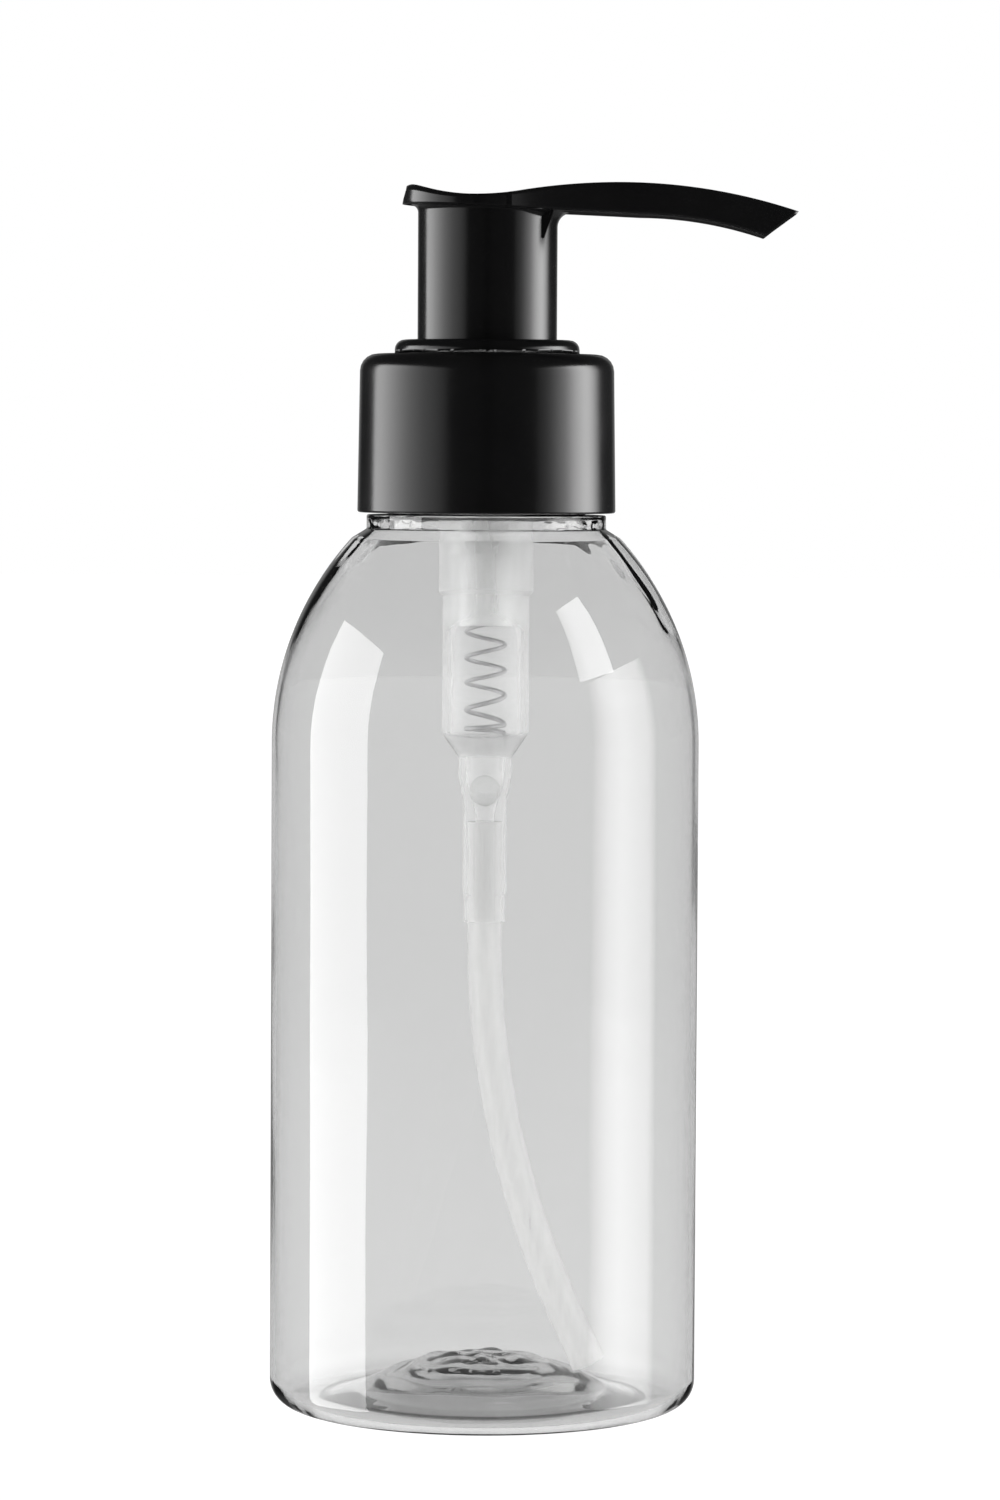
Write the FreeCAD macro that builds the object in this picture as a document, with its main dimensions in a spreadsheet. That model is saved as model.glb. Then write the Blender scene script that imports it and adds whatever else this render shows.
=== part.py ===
import FreeCAD, Part
import math
import os

import Sketcher

# Pump oil bottle: a clear round bottle with a screw-on dispensing pump, in millimetres.
# The origin is on the bottle's axis in the plane it stands on, +Z is up and the spout points along +X.

SIZES = {
    # bottle, blown in clear PET with a 28 mm screw neck
    "body_radius": 27.35,
    "body_wall": 0.7,
    "heel_radius": 4.0,
    "foot_inner_radius": 20.5,
    "foot_wall": 0.75,
    "dome_radius": 16.0,
    "dome_rise": 0.7,
    "dome_apex": 4.6,
    "dome_wall": 1.0,
    "dome_centre_wall": 1.4,
    "gate_radius": 1.3,
    "gate_drop": 0.4,
    "shoulder_start": 85.0,
    "shoulder_radius": 39.2,
    "ring_radius": 15.4,
    "ring_top": 114.3,
    "neck_radius": 12.6,
    "neck_bore": 10.9,
    "neck_bore_start": 115.4,
    "neck_land": 130.9,
    # the screw thread that the neck and the closure share
    "thread_pitch": 4.233,
    "thread_turns": 1.5,
    "thread_start": 120.6,
    "thread_depth": 1.15,
    "thread_root": 2.4,
    "thread_crest": 1.0,
    "thread_gap": 0.3,
    "thread_bite": 0.3,
    # closure, moulded in black polypropylene
    "closure_bottom": 114.6,
    "closure_top": 134.8,
    "closure_bottom_radius": 16.5,
    "closure_top_radius": 16.2,
    "closure_edge_radius": 2.2,
    "closure_disc": 1.3,
    "closure_hole": 10.25,
    "closure_mouth": 14.6,
    "closure_mouth_depth": 1.4,
    # gasket
    "gasket_thickness": 1.1,
    "gasket_gap": 0.02,
    # housing, moulded in natural polypropylene
    "flange_radius": 13.3,
    "flange_thickness": 1.4,
    "cup_radius": 10.6,
    "cup_bore": 9.85,
    "cup_floor": 116.9,
    "cup_floor_thickness": 1.0,
    "cylinder_bore": 4.5,
    "cylinder_upper_radius": 6.05,
    "cylinder_step": 105.5,
    "cylinder_radius": 5.55,
    "cylinder_floor": 86.0,
    "cylinder_edge": 0.5,
    "chamber_top": 83.3,
    "chamber_radius": 3.45,
    "chamber_bottom": 80.6,
    "funnel_radius": 2.8,
    "seat_top_radius": 2.5,
    "seat_top": 80.3,
    "seat_bottom": 76.0,
    "inlet_radius": 1.2,
    "socket_top": 77.6,
    "socket_radius": 2.82,
    "socket_mouth_top": 65.6,
    "socket_mouth_radius": 2.65,
    "socket_end": 62.2,
    "socket_stop": 75.0,
    "rib_count": 4,
    "rib_inner_radius": 1.8,
    "rib_bottom": 81.4,
    "rib_thickness": 0.7,
    "vent_diameter": 0.9,
    "vent_height": 112.6,
    # dip tube, extruded polyethylene with a set in it
    "tube_radius": 2.2,
    "tube_bore": 1.45,
    "tube_bend_top": 60.5,
    "tube_bend_radius": 117.0,
    "tube_bend_angle": 24.5,
    "tube_tail": 7.6,
    # inlet ball
    "ball_radius": 2.0,
    "ball_gap": 0.04,
    # return spring
    "spring_radius": 2.75,
    "spring_wire": 0.6,
    "spring_turns": 7.5,
    "spring_end_pitch": 1.14,
    "spring_gap": 0.05,
    # piston seat, the lower column of the plunger
    "sleeve_radius": 3.4,
    "sleeve_bore": 2.95,
    "sleeve_bottom": 101.2,
    "sleeve_top": 110.4,
    "sleeve_roof": 1.0,
    "plug_top": 117.0,
    "plug_web": 1.1,
    # piston
    "piston_gap": 0.05,
    "piston_fit": 0.03,
    "piston_top": 114.8,
    "piston_waist": 4.05,
    "piston_recess": 3.15,
    "piston_recess_top": 112.8,
    "lip_length": 1.1,
    "upper_lip_length": 1.76,
    "lip_wall": 0.42,
    # stem, the upper column of the plunger
    "stem_radius": 2.8,
    "stem_bore": 1.9,
    "stem_window": 1.2,
    "stem_top": 151.2,
    "stem_flange_radius": 3.9,
    "stem_flange_thickness": 0.8,
    "stem_fit": 0.05,
    # lock ring, moulded in black polypropylene
    "collar_gap": 0.1,
    "collar_radius": 11.8,
    "collar_top_radius": 10.5,
    "collar_top": 136.6,
    "collar_edge_radius": 1.3,
    "collar_bore": 9.1,
    "collar_disc": 1.1,
    "collar_hub_radius": 4.2,
    "collar_hub_top": 122.0,
    "snap_height": 128.0,
    "snap_half_width": 0.6,
    "snap_depth": 0.25,
    # actuator head, moulded in black polypropylene
    "skirt_radius": 8.9,
    "skirt_wall": 1.0,
    "skirt_bottom": 132.6,
    "skirt_top": 153.9,
    "ceiling": 151.9,
    "boss_radius": 4.2,
    "boss_bottom": 145.0,
    "boss_cavity_top": 153.9,
    "head_tail": 10.75,
    "head_tail_bottom": 153.8,
    "nose_left": 10.45,
    "nose_start": 155.05,
    "nose_radius": 1.15,
    "nose_end": 8.91,
    "nose_end_height": 156.13,
    "saddle_offset": 1.7,
    "saddle_height": 154.87,
    "saddle_back_radius": 21.3,
    "saddle_front_radius": 33.0,
    "saddle_end": 4.1,
    "saddle_end_height": 155.40,
    "crest_radius": 72.0,
    "tip_top": 39.49,
    "tip_top_height": 153.07,
    "tip_bottom": 35.26,
    "tip_bottom_height": 149.73,
    "beak_radius": 50.0,
    "beak_start": 19.5,
    "beak_start_height": 152.36,
    "plan_centre": 1.3,
    "plan_radius": 9.6,
    "plan_turn_x": 2.76,
    "plan_turn_y": 8.70,
    "flank_radius": 37.0,
    "flank_end_x": 15.5,
    "flank_end_y": 5.4,
    "plan_end_x": 41.0,
    "plan_end_y": 3.3,
    "head_edge_radius": 0.4,
    "channel_radius": 1.1,
    "channel_start_x": 1.0,
    "channel_start_height": 152.8,
    "channel_end_x": 42.0,
    "channel_end_height": 149.8,
    "channel_arc_radius": 61.0,
    "gusset_offset": 5.4,
    "gusset_thickness": 0.8,
    "gusset_root": 6.4,
    "gusset_reach": 8.4,
    "gusset_foot": 7.15,
    "gusset_top": 153.2,
    "gusset_bottom": 149.4,
    "trim_margin": 5.0,
}

DOC = FreeCAD.newDocument("pump_oil_bottle")
SHEET = DOC.addObject("Spreadsheet::Sheet", "Sizes")
for row, (alias, number) in enumerate(SIZES.items(), start=1):
    SHEET.set(f"A{row}", alias.replace("_", " "))
    SHEET.set(f"B{row}", str(number))
    SHEET.setAlias(f"B{row}", alias)
DOC.recompute()

LEFT = 1
RIGHT = -1
UP = FreeCAD.Vector(0, 0, 1)


class Size:
    """A number worked out from the sheet, together with the expression that drives it."""

    def __init__(self, number, text):
        self.number = number
        self.text = text

    def __add__(self, other):
        other = as_size(other)
        return Size(self.number + other.number, f"({self.text} + {other.text})")

    def __sub__(self, other):
        other = as_size(other)
        return Size(self.number - other.number, f"({self.text} - {other.text})")

    def __mul__(self, other):
        other = as_size(other)
        return Size(self.number * other.number, f"({self.text} * {other.text})")

    def __truediv__(self, other):
        other = as_size(other)
        return Size(self.number / other.number, f"({self.text} / {other.text})")

    def __neg__(self):
        return Size(-self.number, f"(-{self.text})")


class Sheet:
    """Reads a cell of the sheet by its alias, as a Size."""

    def __getattr__(self, alias):
        return Size(float(SHEET.get(alias)), f"Sizes.{alias}")


def as_size(value):
    """A plain number stands for itself."""
    return value if isinstance(value, Size) else Size(value, repr(value))


def root(size):
    """The square root of a size."""
    return Size(math.sqrt(size.number), f"sqrt({size.text})")


D = Sheet()


def bind(thing, prop, size):
    """Drives a property of a document object from the sheet."""
    thing.setExpression(prop, size.text)


def new_body(name):
    """An empty body for one piece, standing at the origin."""
    body = DOC.addObject("PartDesign::Body", name)
    body.Label = name
    body.Placement = FreeCAD.Placement()
    return body


def new_sketch(body, name, role, offset=None):
    """A sketch on one of the body's own origin planes, moved along the plane's normal by an offset."""
    plane = next(one for one in body.Origin.OriginFeatures if one.Role == role)
    sketch = body.newObject("Sketcher::SketchObject", name)
    sketch.AttachmentSupport = [(plane, "")]
    sketch.MapMode = "FlatFace"
    if offset is not None:
        bind(sketch, "AttachmentOffset.Base.z", offset)
    return sketch


def pin_point(sketch, geometry, end, across, up):
    """Holds one end of an edge at the given place in the sketch."""
    origin = (-1, 1)
    axes = {"DistanceX": -2, "DistanceY": -1}
    for kind, size in (("DistanceX", across), ("DistanceY", up)):
        if size.number == 0:
            sketch.addConstraint(Sketcher.Constraint("PointOnObject", geometry, end, axes[kind]))
            continue
        ends = (*origin, geometry, end) if size.number > 0 else (geometry, end, *origin)
        length = size if size.number > 0 else -size
        index = sketch.addConstraint(Sketcher.Constraint(kind, *ends, length.number))
        bind(sketch, f"Constraints[{index}]", length)


def arc_between(start, stop, radius, side):
    """The short arc from start to stop that turns left or right, as a sketch holds it."""
    chord = stop - start
    middle = (start + stop) * 0.5
    across = FreeCAD.Vector(-chord.y, chord.x, 0).normalize() * side
    centre = middle + across * math.sqrt(radius ** 2 - (chord.Length / 2) ** 2)
    first, last = (start, stop) if side == LEFT else (stop, start)
    angles = [math.atan2(point.y - centre.y, point.x - centre.x) for point in (first, last)]
    return Part.ArcOfCircle(Part.Circle(centre, UP, radius), *angles)


def draw(sketch, corners, rounds=None, closed=True):
    """Draws an outline through corners, each a pair of sizes. rounds turns an edge into an arc:
    it gives, by the number of the corner the edge leaves, the arc's radius and the side it turns to."""
    rounds = rounds or {}
    corners = [(as_size(across), as_size(up)) for across, up in corners]
    points = [FreeCAD.Vector(across.number, up.number, 0) for across, up in corners]
    count = len(points) if closed else len(points) - 1
    edges = []
    for number in range(count):
        start = points[number]
        stop = points[(number + 1) % len(points)]
        if number in rounds:
            radius, side = rounds[number]
            index = sketch.addGeometry(arc_between(start, stop, radius.number, side))
            edges.append((index, 1, 2) if side == LEFT else (index, 2, 1))
        else:
            edges.append((sketch.addGeometry(Part.LineSegment(start, stop)), 1, 2))
    for number, (index, begin, end) in enumerate(edges):
        if closed or number + 1 < count:
            after = edges[(number + 1) % count]
            sketch.addConstraint(Sketcher.Constraint("Coincident", index, end, after[0], after[1]))
        pin_point(sketch, index, begin, *corners[number])
    if not closed:
        pin_point(sketch, edges[-1][0], edges[-1][2], *corners[-1])
    for number, (radius, side) in rounds.items():
        held = sketch.addConstraint(Sketcher.Constraint("Radius", edges[number][0], radius.number))
        bind(sketch, f"Constraints[{held}]", radius)


def draw_circle(sketch, across, up, radius):
    """Draws a circle whose centre and radius follow the sheet."""
    across, up = as_size(across), as_size(up)
    centre = FreeCAD.Vector(across.number, up.number, 0)
    index = sketch.addGeometry(Part.Circle(centre, UP, radius.number))
    pin_point(sketch, index, 3, across, up)
    held = sketch.addConstraint(Sketcher.Constraint("Radius", index, radius.number))
    bind(sketch, f"Constraints[{held}]", radius)


def turned(body, name, corners, rounds=None, kind="PartDesign::Revolution"):
    """Turns a half outline of radius and height corners about the body's Z axis."""
    sketch = new_sketch(body, name + "_outline", "XZ_Plane")
    draw(sketch, corners, rounds)
    turn = body.newObject(kind, name)
    turn.Profile = sketch
    turn.ReferenceAxis = (sketch, ["V_Axis"])
    turn.Angle = 360
    return turn


def slab(body, name, sketch, thickness, kind="PartDesign::Pad"):
    """Thickens a sketch evenly to both sides of its plane, as a pad or as a cut."""
    feature = body.newObject(kind, name)
    feature.Profile = sketch
    feature.Midplane = True
    bind(feature, "Length", as_size(thickness))
    return feature


def thread(body, name, wall, reach, outward):
    """Sweeps a trapezium ridge up the shared helix. It stands on the wall's radius and reaches in or out."""
    out = 1 if outward else -1
    foot = wall - D.thread_bite * out
    spread = D.thread_root / 2 + D.thread_bite * (D.thread_root - D.thread_crest) / (D.thread_depth * 2)
    half = D.thread_crest / 2
    middle = D.thread_start
    sketch = new_sketch(body, name + "_ridge", "XZ_Plane")
    draw(sketch, [
        (foot, middle - spread),
        (reach, middle - half),
        (reach, middle + half),
        (foot, middle + spread),
    ])
    ridge = body.newObject("PartDesign::AdditiveHelix", name)
    ridge.Profile = sketch
    ridge.ReferenceAxis = (sketch, ["V_Axis"])
    ridge.Mode = "pitch-height-angle"
    bind(ridge, "Pitch", D.thread_pitch)
    bind(ridge, "Height", D.thread_pitch * D.thread_turns)


def make_bottle():
    """Bottle with a domed push-up base, a round shoulder, a support ring and a threaded neck."""
    body = new_body("bottle")
    inner = D.body_radius - D.body_wall
    heel_start = D.body_radius - D.heel_radius
    reach = D.shoulder_radius - D.body_radius + D.ring_radius
    shoulder_top = D.shoulder_start + root(D.shoulder_radius * D.shoulder_radius - reach * reach)
    fall = inner - D.neck_bore
    climb = D.neck_bore_start - D.shoulder_start
    inner_shoulder = (fall * fall + climb * climb) / (fall * 2)
    dome_drop = D.dome_apex - D.dome_rise
    dome_arc = (D.dome_radius * D.dome_radius + dome_drop * dome_drop) / (dome_drop * 2)
    gate_top = D.dome_apex - dome_arc + root(dome_arc * dome_arc - D.gate_radius * D.gate_radius)
    inner_apex = D.dome_apex + D.dome_centre_wall
    inner_rise = D.dome_rise + D.dome_wall
    inner_drop = inner_apex - inner_rise
    inner_dome = (D.dome_radius * D.dome_radius + inner_drop * inner_drop) / (inner_drop * 2)
    corners = [
        (0, D.dome_apex - D.gate_drop),
        (D.gate_radius, D.dome_apex - D.gate_drop),
        (D.gate_radius, gate_top),
        (D.dome_radius, D.dome_rise),
        (D.foot_inner_radius, 0),
        (heel_start, 0),
        (D.body_radius, D.heel_radius),
        (D.body_radius, D.shoulder_start),
        (D.ring_radius, shoulder_top),
        (D.ring_radius, D.ring_top),
        (D.neck_radius, D.ring_top),
        (D.neck_radius, D.neck_land),
        (D.neck_bore, D.neck_land),
        (D.neck_bore, D.neck_bore_start),
        (inner, D.shoulder_start),
        (inner, D.heel_radius),
        (heel_start, D.foot_wall),
        (D.foot_inner_radius, D.foot_wall),
        (D.dome_radius, inner_rise),
        (0, inner_apex),
    ]
    rounds = {
        2: (dome_arc, RIGHT),
        5: (D.heel_radius, LEFT),
        7: (D.shoulder_radius, LEFT),
        13: (inner_shoulder, RIGHT),
        15: (D.heel_radius - D.body_wall, RIGHT),
        18: (inner_dome, LEFT),
    }
    turned(body, "bottle_wall", corners, rounds)
    thread(body, "neck_thread", D.neck_radius, D.neck_radius + D.thread_depth, True)
    return body


def make_closure():
    """Screw closure: a smooth skirt with a rounded top edge, a thread inside and a hole for the lock ring."""
    body = new_body("closure")
    bore = D.neck_radius + D.thread_depth + D.thread_gap
    edge = D.closure_top_radius - D.closure_edge_radius
    under = D.closure_top - D.closure_disc
    mouth_top = D.closure_bottom + D.closure_mouth_depth
    corners = [
        (D.closure_mouth, D.closure_bottom),
        (D.closure_bottom_radius, D.closure_bottom),
        (D.closure_top_radius, D.closure_top - D.closure_edge_radius),
        (edge, D.closure_top),
        (D.closure_hole, D.closure_top),
        (D.closure_hole, under),
        (bore, under),
        (bore, mouth_top),
        (D.closure_mouth, mouth_top - (D.closure_mouth - bore)),
    ]
    turned(body, "closure_wall", corners, {2: (D.closure_edge_radius, LEFT)})
    thread(body, "closure_thread", bore, D.neck_radius + D.thread_gap, False)
    # half a turn round, so that the two ridges run midway between each other
    body.Placement = FreeCAD.Placement(FreeCAD.Vector(), FreeCAD.Rotation(UP, 180))
    return body


def make_gasket():
    """Flat sealing ring between the neck's land and the housing's flange."""
    body = new_body("gasket")
    bottom = D.neck_land + D.gasket_gap
    top = D.neck_land + D.gasket_thickness
    corners = [(D.neck_bore, bottom), (D.flange_radius, bottom), (D.flange_radius, top), (D.neck_bore, top)]
    turned(body, "gasket_ring", corners)
    return body


def make_housing():
    """Pump housing: flange, cup for the lock ring, pump cylinder, ball chamber and dip tube socket."""
    body = new_body("housing")
    flange_bottom = D.neck_land + D.gasket_thickness
    flange_top = flange_bottom + D.flange_thickness
    corners = [
        (D.flange_radius, flange_bottom),
        (D.flange_radius, flange_top),
        (D.cup_bore, flange_top),
        (D.cup_bore, D.snap_height + D.snap_half_width),
        (D.cup_bore + D.snap_depth, D.snap_height),
        (D.cup_bore, D.snap_height - D.snap_half_width),
        (D.cup_bore, D.cup_floor),
        (D.cylinder_bore, D.cup_floor),
        (D.cylinder_bore, D.cylinder_floor),
        (D.funnel_radius, D.cylinder_floor),
        (D.seat_top_radius, D.seat_top),
        (D.inlet_radius, D.seat_bottom),
        (D.inlet_radius, D.socket_stop),
        (D.tube_radius, D.socket_stop),
        (D.tube_radius, D.socket_end),
        (D.socket_mouth_radius, D.socket_end),
        (D.socket_mouth_radius, D.socket_mouth_top),
        (D.socket_radius, D.socket_mouth_top + (D.socket_radius - D.socket_mouth_radius)),
        (D.socket_radius, D.socket_top),
        (D.chamber_radius, D.chamber_bottom),
        (D.chamber_radius, D.chamber_top),
        (D.cylinder_radius - D.cylinder_edge / 2, D.cylinder_floor),
        (D.cylinder_radius, D.cylinder_floor + D.cylinder_edge),
        (D.cylinder_radius, D.cylinder_step - D.cylinder_edge),
        (D.cylinder_upper_radius, D.cylinder_step),
        (D.cylinder_upper_radius, D.cup_floor - D.cup_floor_thickness),
        (D.cup_radius, D.cup_floor - D.cup_floor_thickness),
        (D.cup_radius, flange_bottom),
    ]
    turned(body, "housing_wall", corners)
    # snap ribs in the funnel, which carry the spring and keep the ball down
    rib_outer = (D.funnel_radius + D.chamber_radius) / 2
    rib_sketch = new_sketch(body, "rib_outline", "XZ_Plane")
    draw(rib_sketch, [
        (D.rib_inner_radius, D.rib_bottom),
        (rib_outer, D.rib_bottom),
        (rib_outer, D.cylinder_floor),
        (D.rib_inner_radius, D.cylinder_floor),
    ])
    rib = slab(body, "rib", rib_sketch, D.rib_thickness)
    ribs = body.newObject("PartDesign::PolarPattern", "ribs")
    ribs.Originals = [rib]
    ribs.Axis = (rib_sketch, ["V_Axis"])
    ribs.Angle = 360
    bind(ribs, "Occurrences", D.rib_count)
    body.Tip = ribs
    # air inlet through the back of the cylinder, between the piston's lips while the pump is at rest
    vent_sketch = new_sketch(body, "vent_outline", "XZ_Plane")
    draw_circle(vent_sketch, 0, D.vent_height, D.vent_diameter / 2)
    vent = body.newObject("PartDesign::Pocket", "vent")
    vent.Profile = vent_sketch
    bind(vent, "Length", D.cylinder_upper_radius * 2)
    return body


def make_dip_tube():
    """Dip tube: straight in its socket, then bent to one side so that it reaches the heel of the bottle."""
    body = new_body("dip_tube")
    turn = math.radians(D.tube_bend_angle.number)
    across = Size(math.sin(turn), f"sin({D.tube_bend_angle.text} * 1 deg)")
    down = Size(math.cos(turn), f"cos({D.tube_bend_angle.text} * 1 deg)")
    bend_x = D.tube_bend_radius - D.tube_bend_radius * down
    bend_z = D.tube_bend_top - D.tube_bend_radius * across
    path = new_sketch(body, "tube_path", "XZ_Plane")
    draw(path, [
        (0, D.socket_stop),
        (0, D.tube_bend_top),
        (bend_x, bend_z),
        (bend_x + D.tube_tail * across, bend_z - D.tube_tail * down),
    ], {1: (D.tube_bend_radius, LEFT)}, closed=False)
    section = new_sketch(body, "tube_section", "XY_Plane", D.socket_stop)
    draw_circle(section, 0, 0, D.tube_radius)
    draw_circle(section, 0, 0, D.tube_bore)
    pipe = body.newObject("PartDesign::AdditivePipe", "tube")
    pipe.Profile = section
    pipe.Spine = path
    return body


def make_inlet_ball():
    """Glass ball that closes the inlet from above, resting in the cone under the funnel."""
    slope = (D.seat_top_radius - D.inlet_radius) / (D.seat_top - D.seat_bottom)
    slant = root(slope * slope + 1)
    # a ball touches a cone where its radius stands square to the cone's side
    centre = D.seat_bottom + (D.ball_radius * slant - D.inlet_radius) / slope + D.ball_gap
    ball = DOC.addObject("Part::Sphere", "inlet_ball")
    ball.Label = "inlet_ball"
    bind(ball, "Radius", D.ball_radius)
    bind(ball, "Placement.Base.z", centre)
    return ball


def biarc(start, start_way, stop, stop_way):
    """Two arcs that leave start along start_way and reach stop along stop_way, meeting smoothly."""
    span = stop - start
    ways = start_way + stop_way
    bend = 2 * (1 - start_way.dot(stop_way))
    along = span.dot(ways)
    reach = (math.sqrt(along ** 2 + bend * span.dot(span)) - along) / bend
    controls = (start + start_way * reach, stop - stop_way * reach)
    joint = (controls[0] + controls[1]) * 0.5
    arcs = []
    for first, control, last in ((start, controls[0], joint), (joint, controls[1], stop)):
        inward = ((first - control).normalize() + (last - control).normalize()).normalize()
        half = (first - control).getAngle(last - control) / 2
        middle = control + inward * (reach / math.cos(half) - reach * math.tan(half))
        arcs.append(Part.Arc(first, middle, last).toShape())
    return arcs


def coil_point(turn, bottom, height, radius):
    """A point of the spring's centre line after so many turns, and the way the wire runs there.
    The height climbs slowly in the first and last turn, and evenly between them."""
    turns = D.spring_turns.number
    end_pitch = D.spring_end_pitch.number
    pitch = (height - 2 * end_pitch) / (turns - 2)
    rate = end_pitch if turn < 1 or turn > turns - 1 else pitch
    if turn in (1, turns - 1):
        rate = (end_pitch + pitch) / 2
    if turn <= 1:
        climb = end_pitch * turn
    elif turn >= turns - 1:
        climb = height - end_pitch * (turns - turn)
    else:
        climb = end_pitch + pitch * (turn - 1)
    angle = 2 * math.pi * turn
    place = FreeCAD.Vector(radius * math.cos(angle), radius * math.sin(angle), bottom + climb)
    speed = 2 * math.pi * radius
    way = FreeCAD.Vector(-speed * math.sin(angle), speed * math.cos(angle), rate).normalize()
    return place, way


def make_spring():
    """Return spring: one round wire, right-handed, with a slow turn at each end."""
    wire_radius = D.spring_wire.number / 2
    radius = D.spring_radius.number - wire_radius
    bottom = D.cylinder_floor.number + D.spring_gap.number + wire_radius
    top = D.sleeve_top.number - D.sleeve_roof.number - D.spring_gap.number - wire_radius
    quarters = round(D.spring_turns.number * 4)
    stations = [coil_point(number / 4, bottom, top - bottom, radius) for number in range(quarters + 1)]
    first, first_way = stations[0]
    last, last_way = stations[-1]
    # the end turns dip level, so that the straight ends stay inside the spring's length
    level_first = FreeCAD.Vector(first_way.x, first_way.y, 0).normalize()
    level_last = FreeCAD.Vector(last_way.x, last_way.y, 0).normalize()
    stations[0] = (first, level_first)
    stations[-1] = (last, level_last)
    start = first - level_first * D.spring_wire.number
    edges = [Part.LineSegment(start, first).toShape()]
    for (here, way), (there, next_way) in zip(stations, stations[1:]):
        edges.extend(biarc(here, way, there, next_way))
    edges.append(Part.LineSegment(last, last + level_last * D.spring_wire.number).toShape())
    path = Part.Wire(edges)
    section = Part.Wire([Part.Circle(start, level_first, wire_radius).toShape()])
    shell = Part.BRepOffsetAPI.MakePipeShell(path)
    shell.add(section)
    shell.build()
    shell.makeSolid()
    spring = DOC.addObject("Part::Feature", "spring")
    spring.Label = "spring"
    spring.Shape = shell.shape()
    spring.Placement = FreeCAD.Placement()
    report_coil_gap(path, D.spring_wire.number, quarters)
    return spring


def report_coil_gap(path, wire, quarters):
    """Prints the least distance between the wire's surface and itself a half turn or more further on."""
    samples_per_quarter = 12
    points = path.discretize(quarters * samples_per_quarter + 1)
    skip = 2 * samples_per_quarter
    gap = min(
        one.distanceToPoint(other)
        for number, one in enumerate(points)
        for other in points[number + skip:]
    ) - wire
    print(f"spring: least gap to itself {gap:.3f} mm, length of wire {path.Length:.1f} mm")


def make_piston_seat():
    """Lower column: a sleeve for the spring, open below, and a cross-shaped plug that the stem sits on."""
    body = new_body("piston_seat")
    roof = D.sleeve_top - D.sleeve_roof
    corners = [
        (D.sleeve_bore, D.sleeve_bottom),
        (D.sleeve_radius, D.sleeve_bottom),
        (D.sleeve_radius, D.sleeve_top),
        (0, D.sleeve_top),
        (0, roof),
        (D.sleeve_bore, roof),
    ]
    turned(body, "sleeve", corners)
    plug_bottom = D.sleeve_top - D.sleeve_roof / 2
    for role in ("XZ_Plane", "YZ_Plane"):
        web_sketch = new_sketch(body, "web_outline_" + role[:2], role)
        draw(web_sketch, [
            (-D.stem_bore, plug_bottom),
            (D.stem_bore, plug_bottom),
            (D.stem_bore, D.plug_top),
            (-D.stem_bore, D.plug_top),
        ])
        slab(body, "web_" + role[:2], web_sketch, D.plug_web)
    # the webs' ends are turned down to the stem's round bore
    trim = [
        (D.stem_bore, D.sleeve_top),
        (D.sleeve_radius, D.sleeve_top),
        (D.sleeve_radius, D.plug_top),
        (D.stem_bore, D.plug_top),
    ]
    turned(body, "plug_trim", trim, kind="PartDesign::Groove")
    return body


def make_piston():
    """Piston with an upper and a lower wiping lip. It slides a little on the stem and opens the outlet."""
    body = new_body("piston")
    bottom = D.sleeve_top + D.piston_gap
    rim = D.cylinder_bore - D.piston_fit
    lip = rim - D.lip_wall
    bore = D.stem_radius + D.piston_fit
    corners = [
        (D.piston_recess, bottom),
        (D.piston_waist - D.lip_wall, bottom),
        (lip, bottom - D.lip_length),
        (rim, bottom - D.lip_length),
        (D.piston_waist, bottom + D.lip_length),
        (D.piston_waist, D.piston_top - D.upper_lip_length),
        (rim, D.piston_top),
        (lip, D.piston_top),
        (D.piston_waist - D.lip_wall, D.piston_top - D.lip_length),
        (bore, D.piston_top - D.lip_length),
        (bore, D.piston_recess_top),
        (D.piston_recess, D.piston_recess_top - (D.piston_recess - bore)),
    ]
    turned(body, "piston_ring", corners)
    return body


def make_stem():
    """Upper column: a tube from the piston to the head, with a flange that stops under the lock ring."""
    body = new_body("stem")
    bottom = D.sleeve_top + D.stem_window
    flange_top = D.cup_floor - D.stem_fit
    corners = [
        (D.stem_bore, bottom),
        (D.stem_radius, bottom),
        (D.stem_radius, flange_top - D.stem_flange_thickness),
        (D.stem_flange_radius, flange_top - D.stem_flange_thickness),
        (D.stem_flange_radius, flange_top),
        (D.stem_radius, flange_top),
        (D.stem_radius, D.stem_top),
        (D.stem_bore, D.stem_top),
    ]
    turned(body, "stem_tube", corners)
    return body


def make_lock_ring():
    """Lock ring: a flange over the closure, a sleeve snapped into the housing and a hub round the stem."""
    body = new_body("lock_ring")
    bottom = D.closure_top + D.collar_gap
    disc_top = D.cup_floor + D.collar_disc
    corners = [
        (D.stem_radius + D.stem_fit, D.cup_floor),
        (D.cup_bore, D.cup_floor),
        (D.cup_bore, D.snap_height - D.snap_half_width),
        (D.cup_bore + D.snap_depth, D.snap_height),
        (D.cup_bore, D.snap_height + D.snap_half_width),
        (D.cup_bore, bottom),
        (D.collar_radius, bottom),
        (D.collar_radius, D.collar_top - D.collar_edge_radius),
        (D.collar_top_radius, D.collar_top),
        (D.collar_bore, D.collar_top),
        (D.collar_bore, disc_top),
        (D.collar_hub_radius, disc_top),
        (D.collar_hub_radius, D.collar_hub_top),
        (D.stem_radius + D.stem_fit, D.collar_hub_top),
    ]
    turned(body, "lock_ring_wall", corners, {7: (D.collar_edge_radius, LEFT)})
    return body


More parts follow.
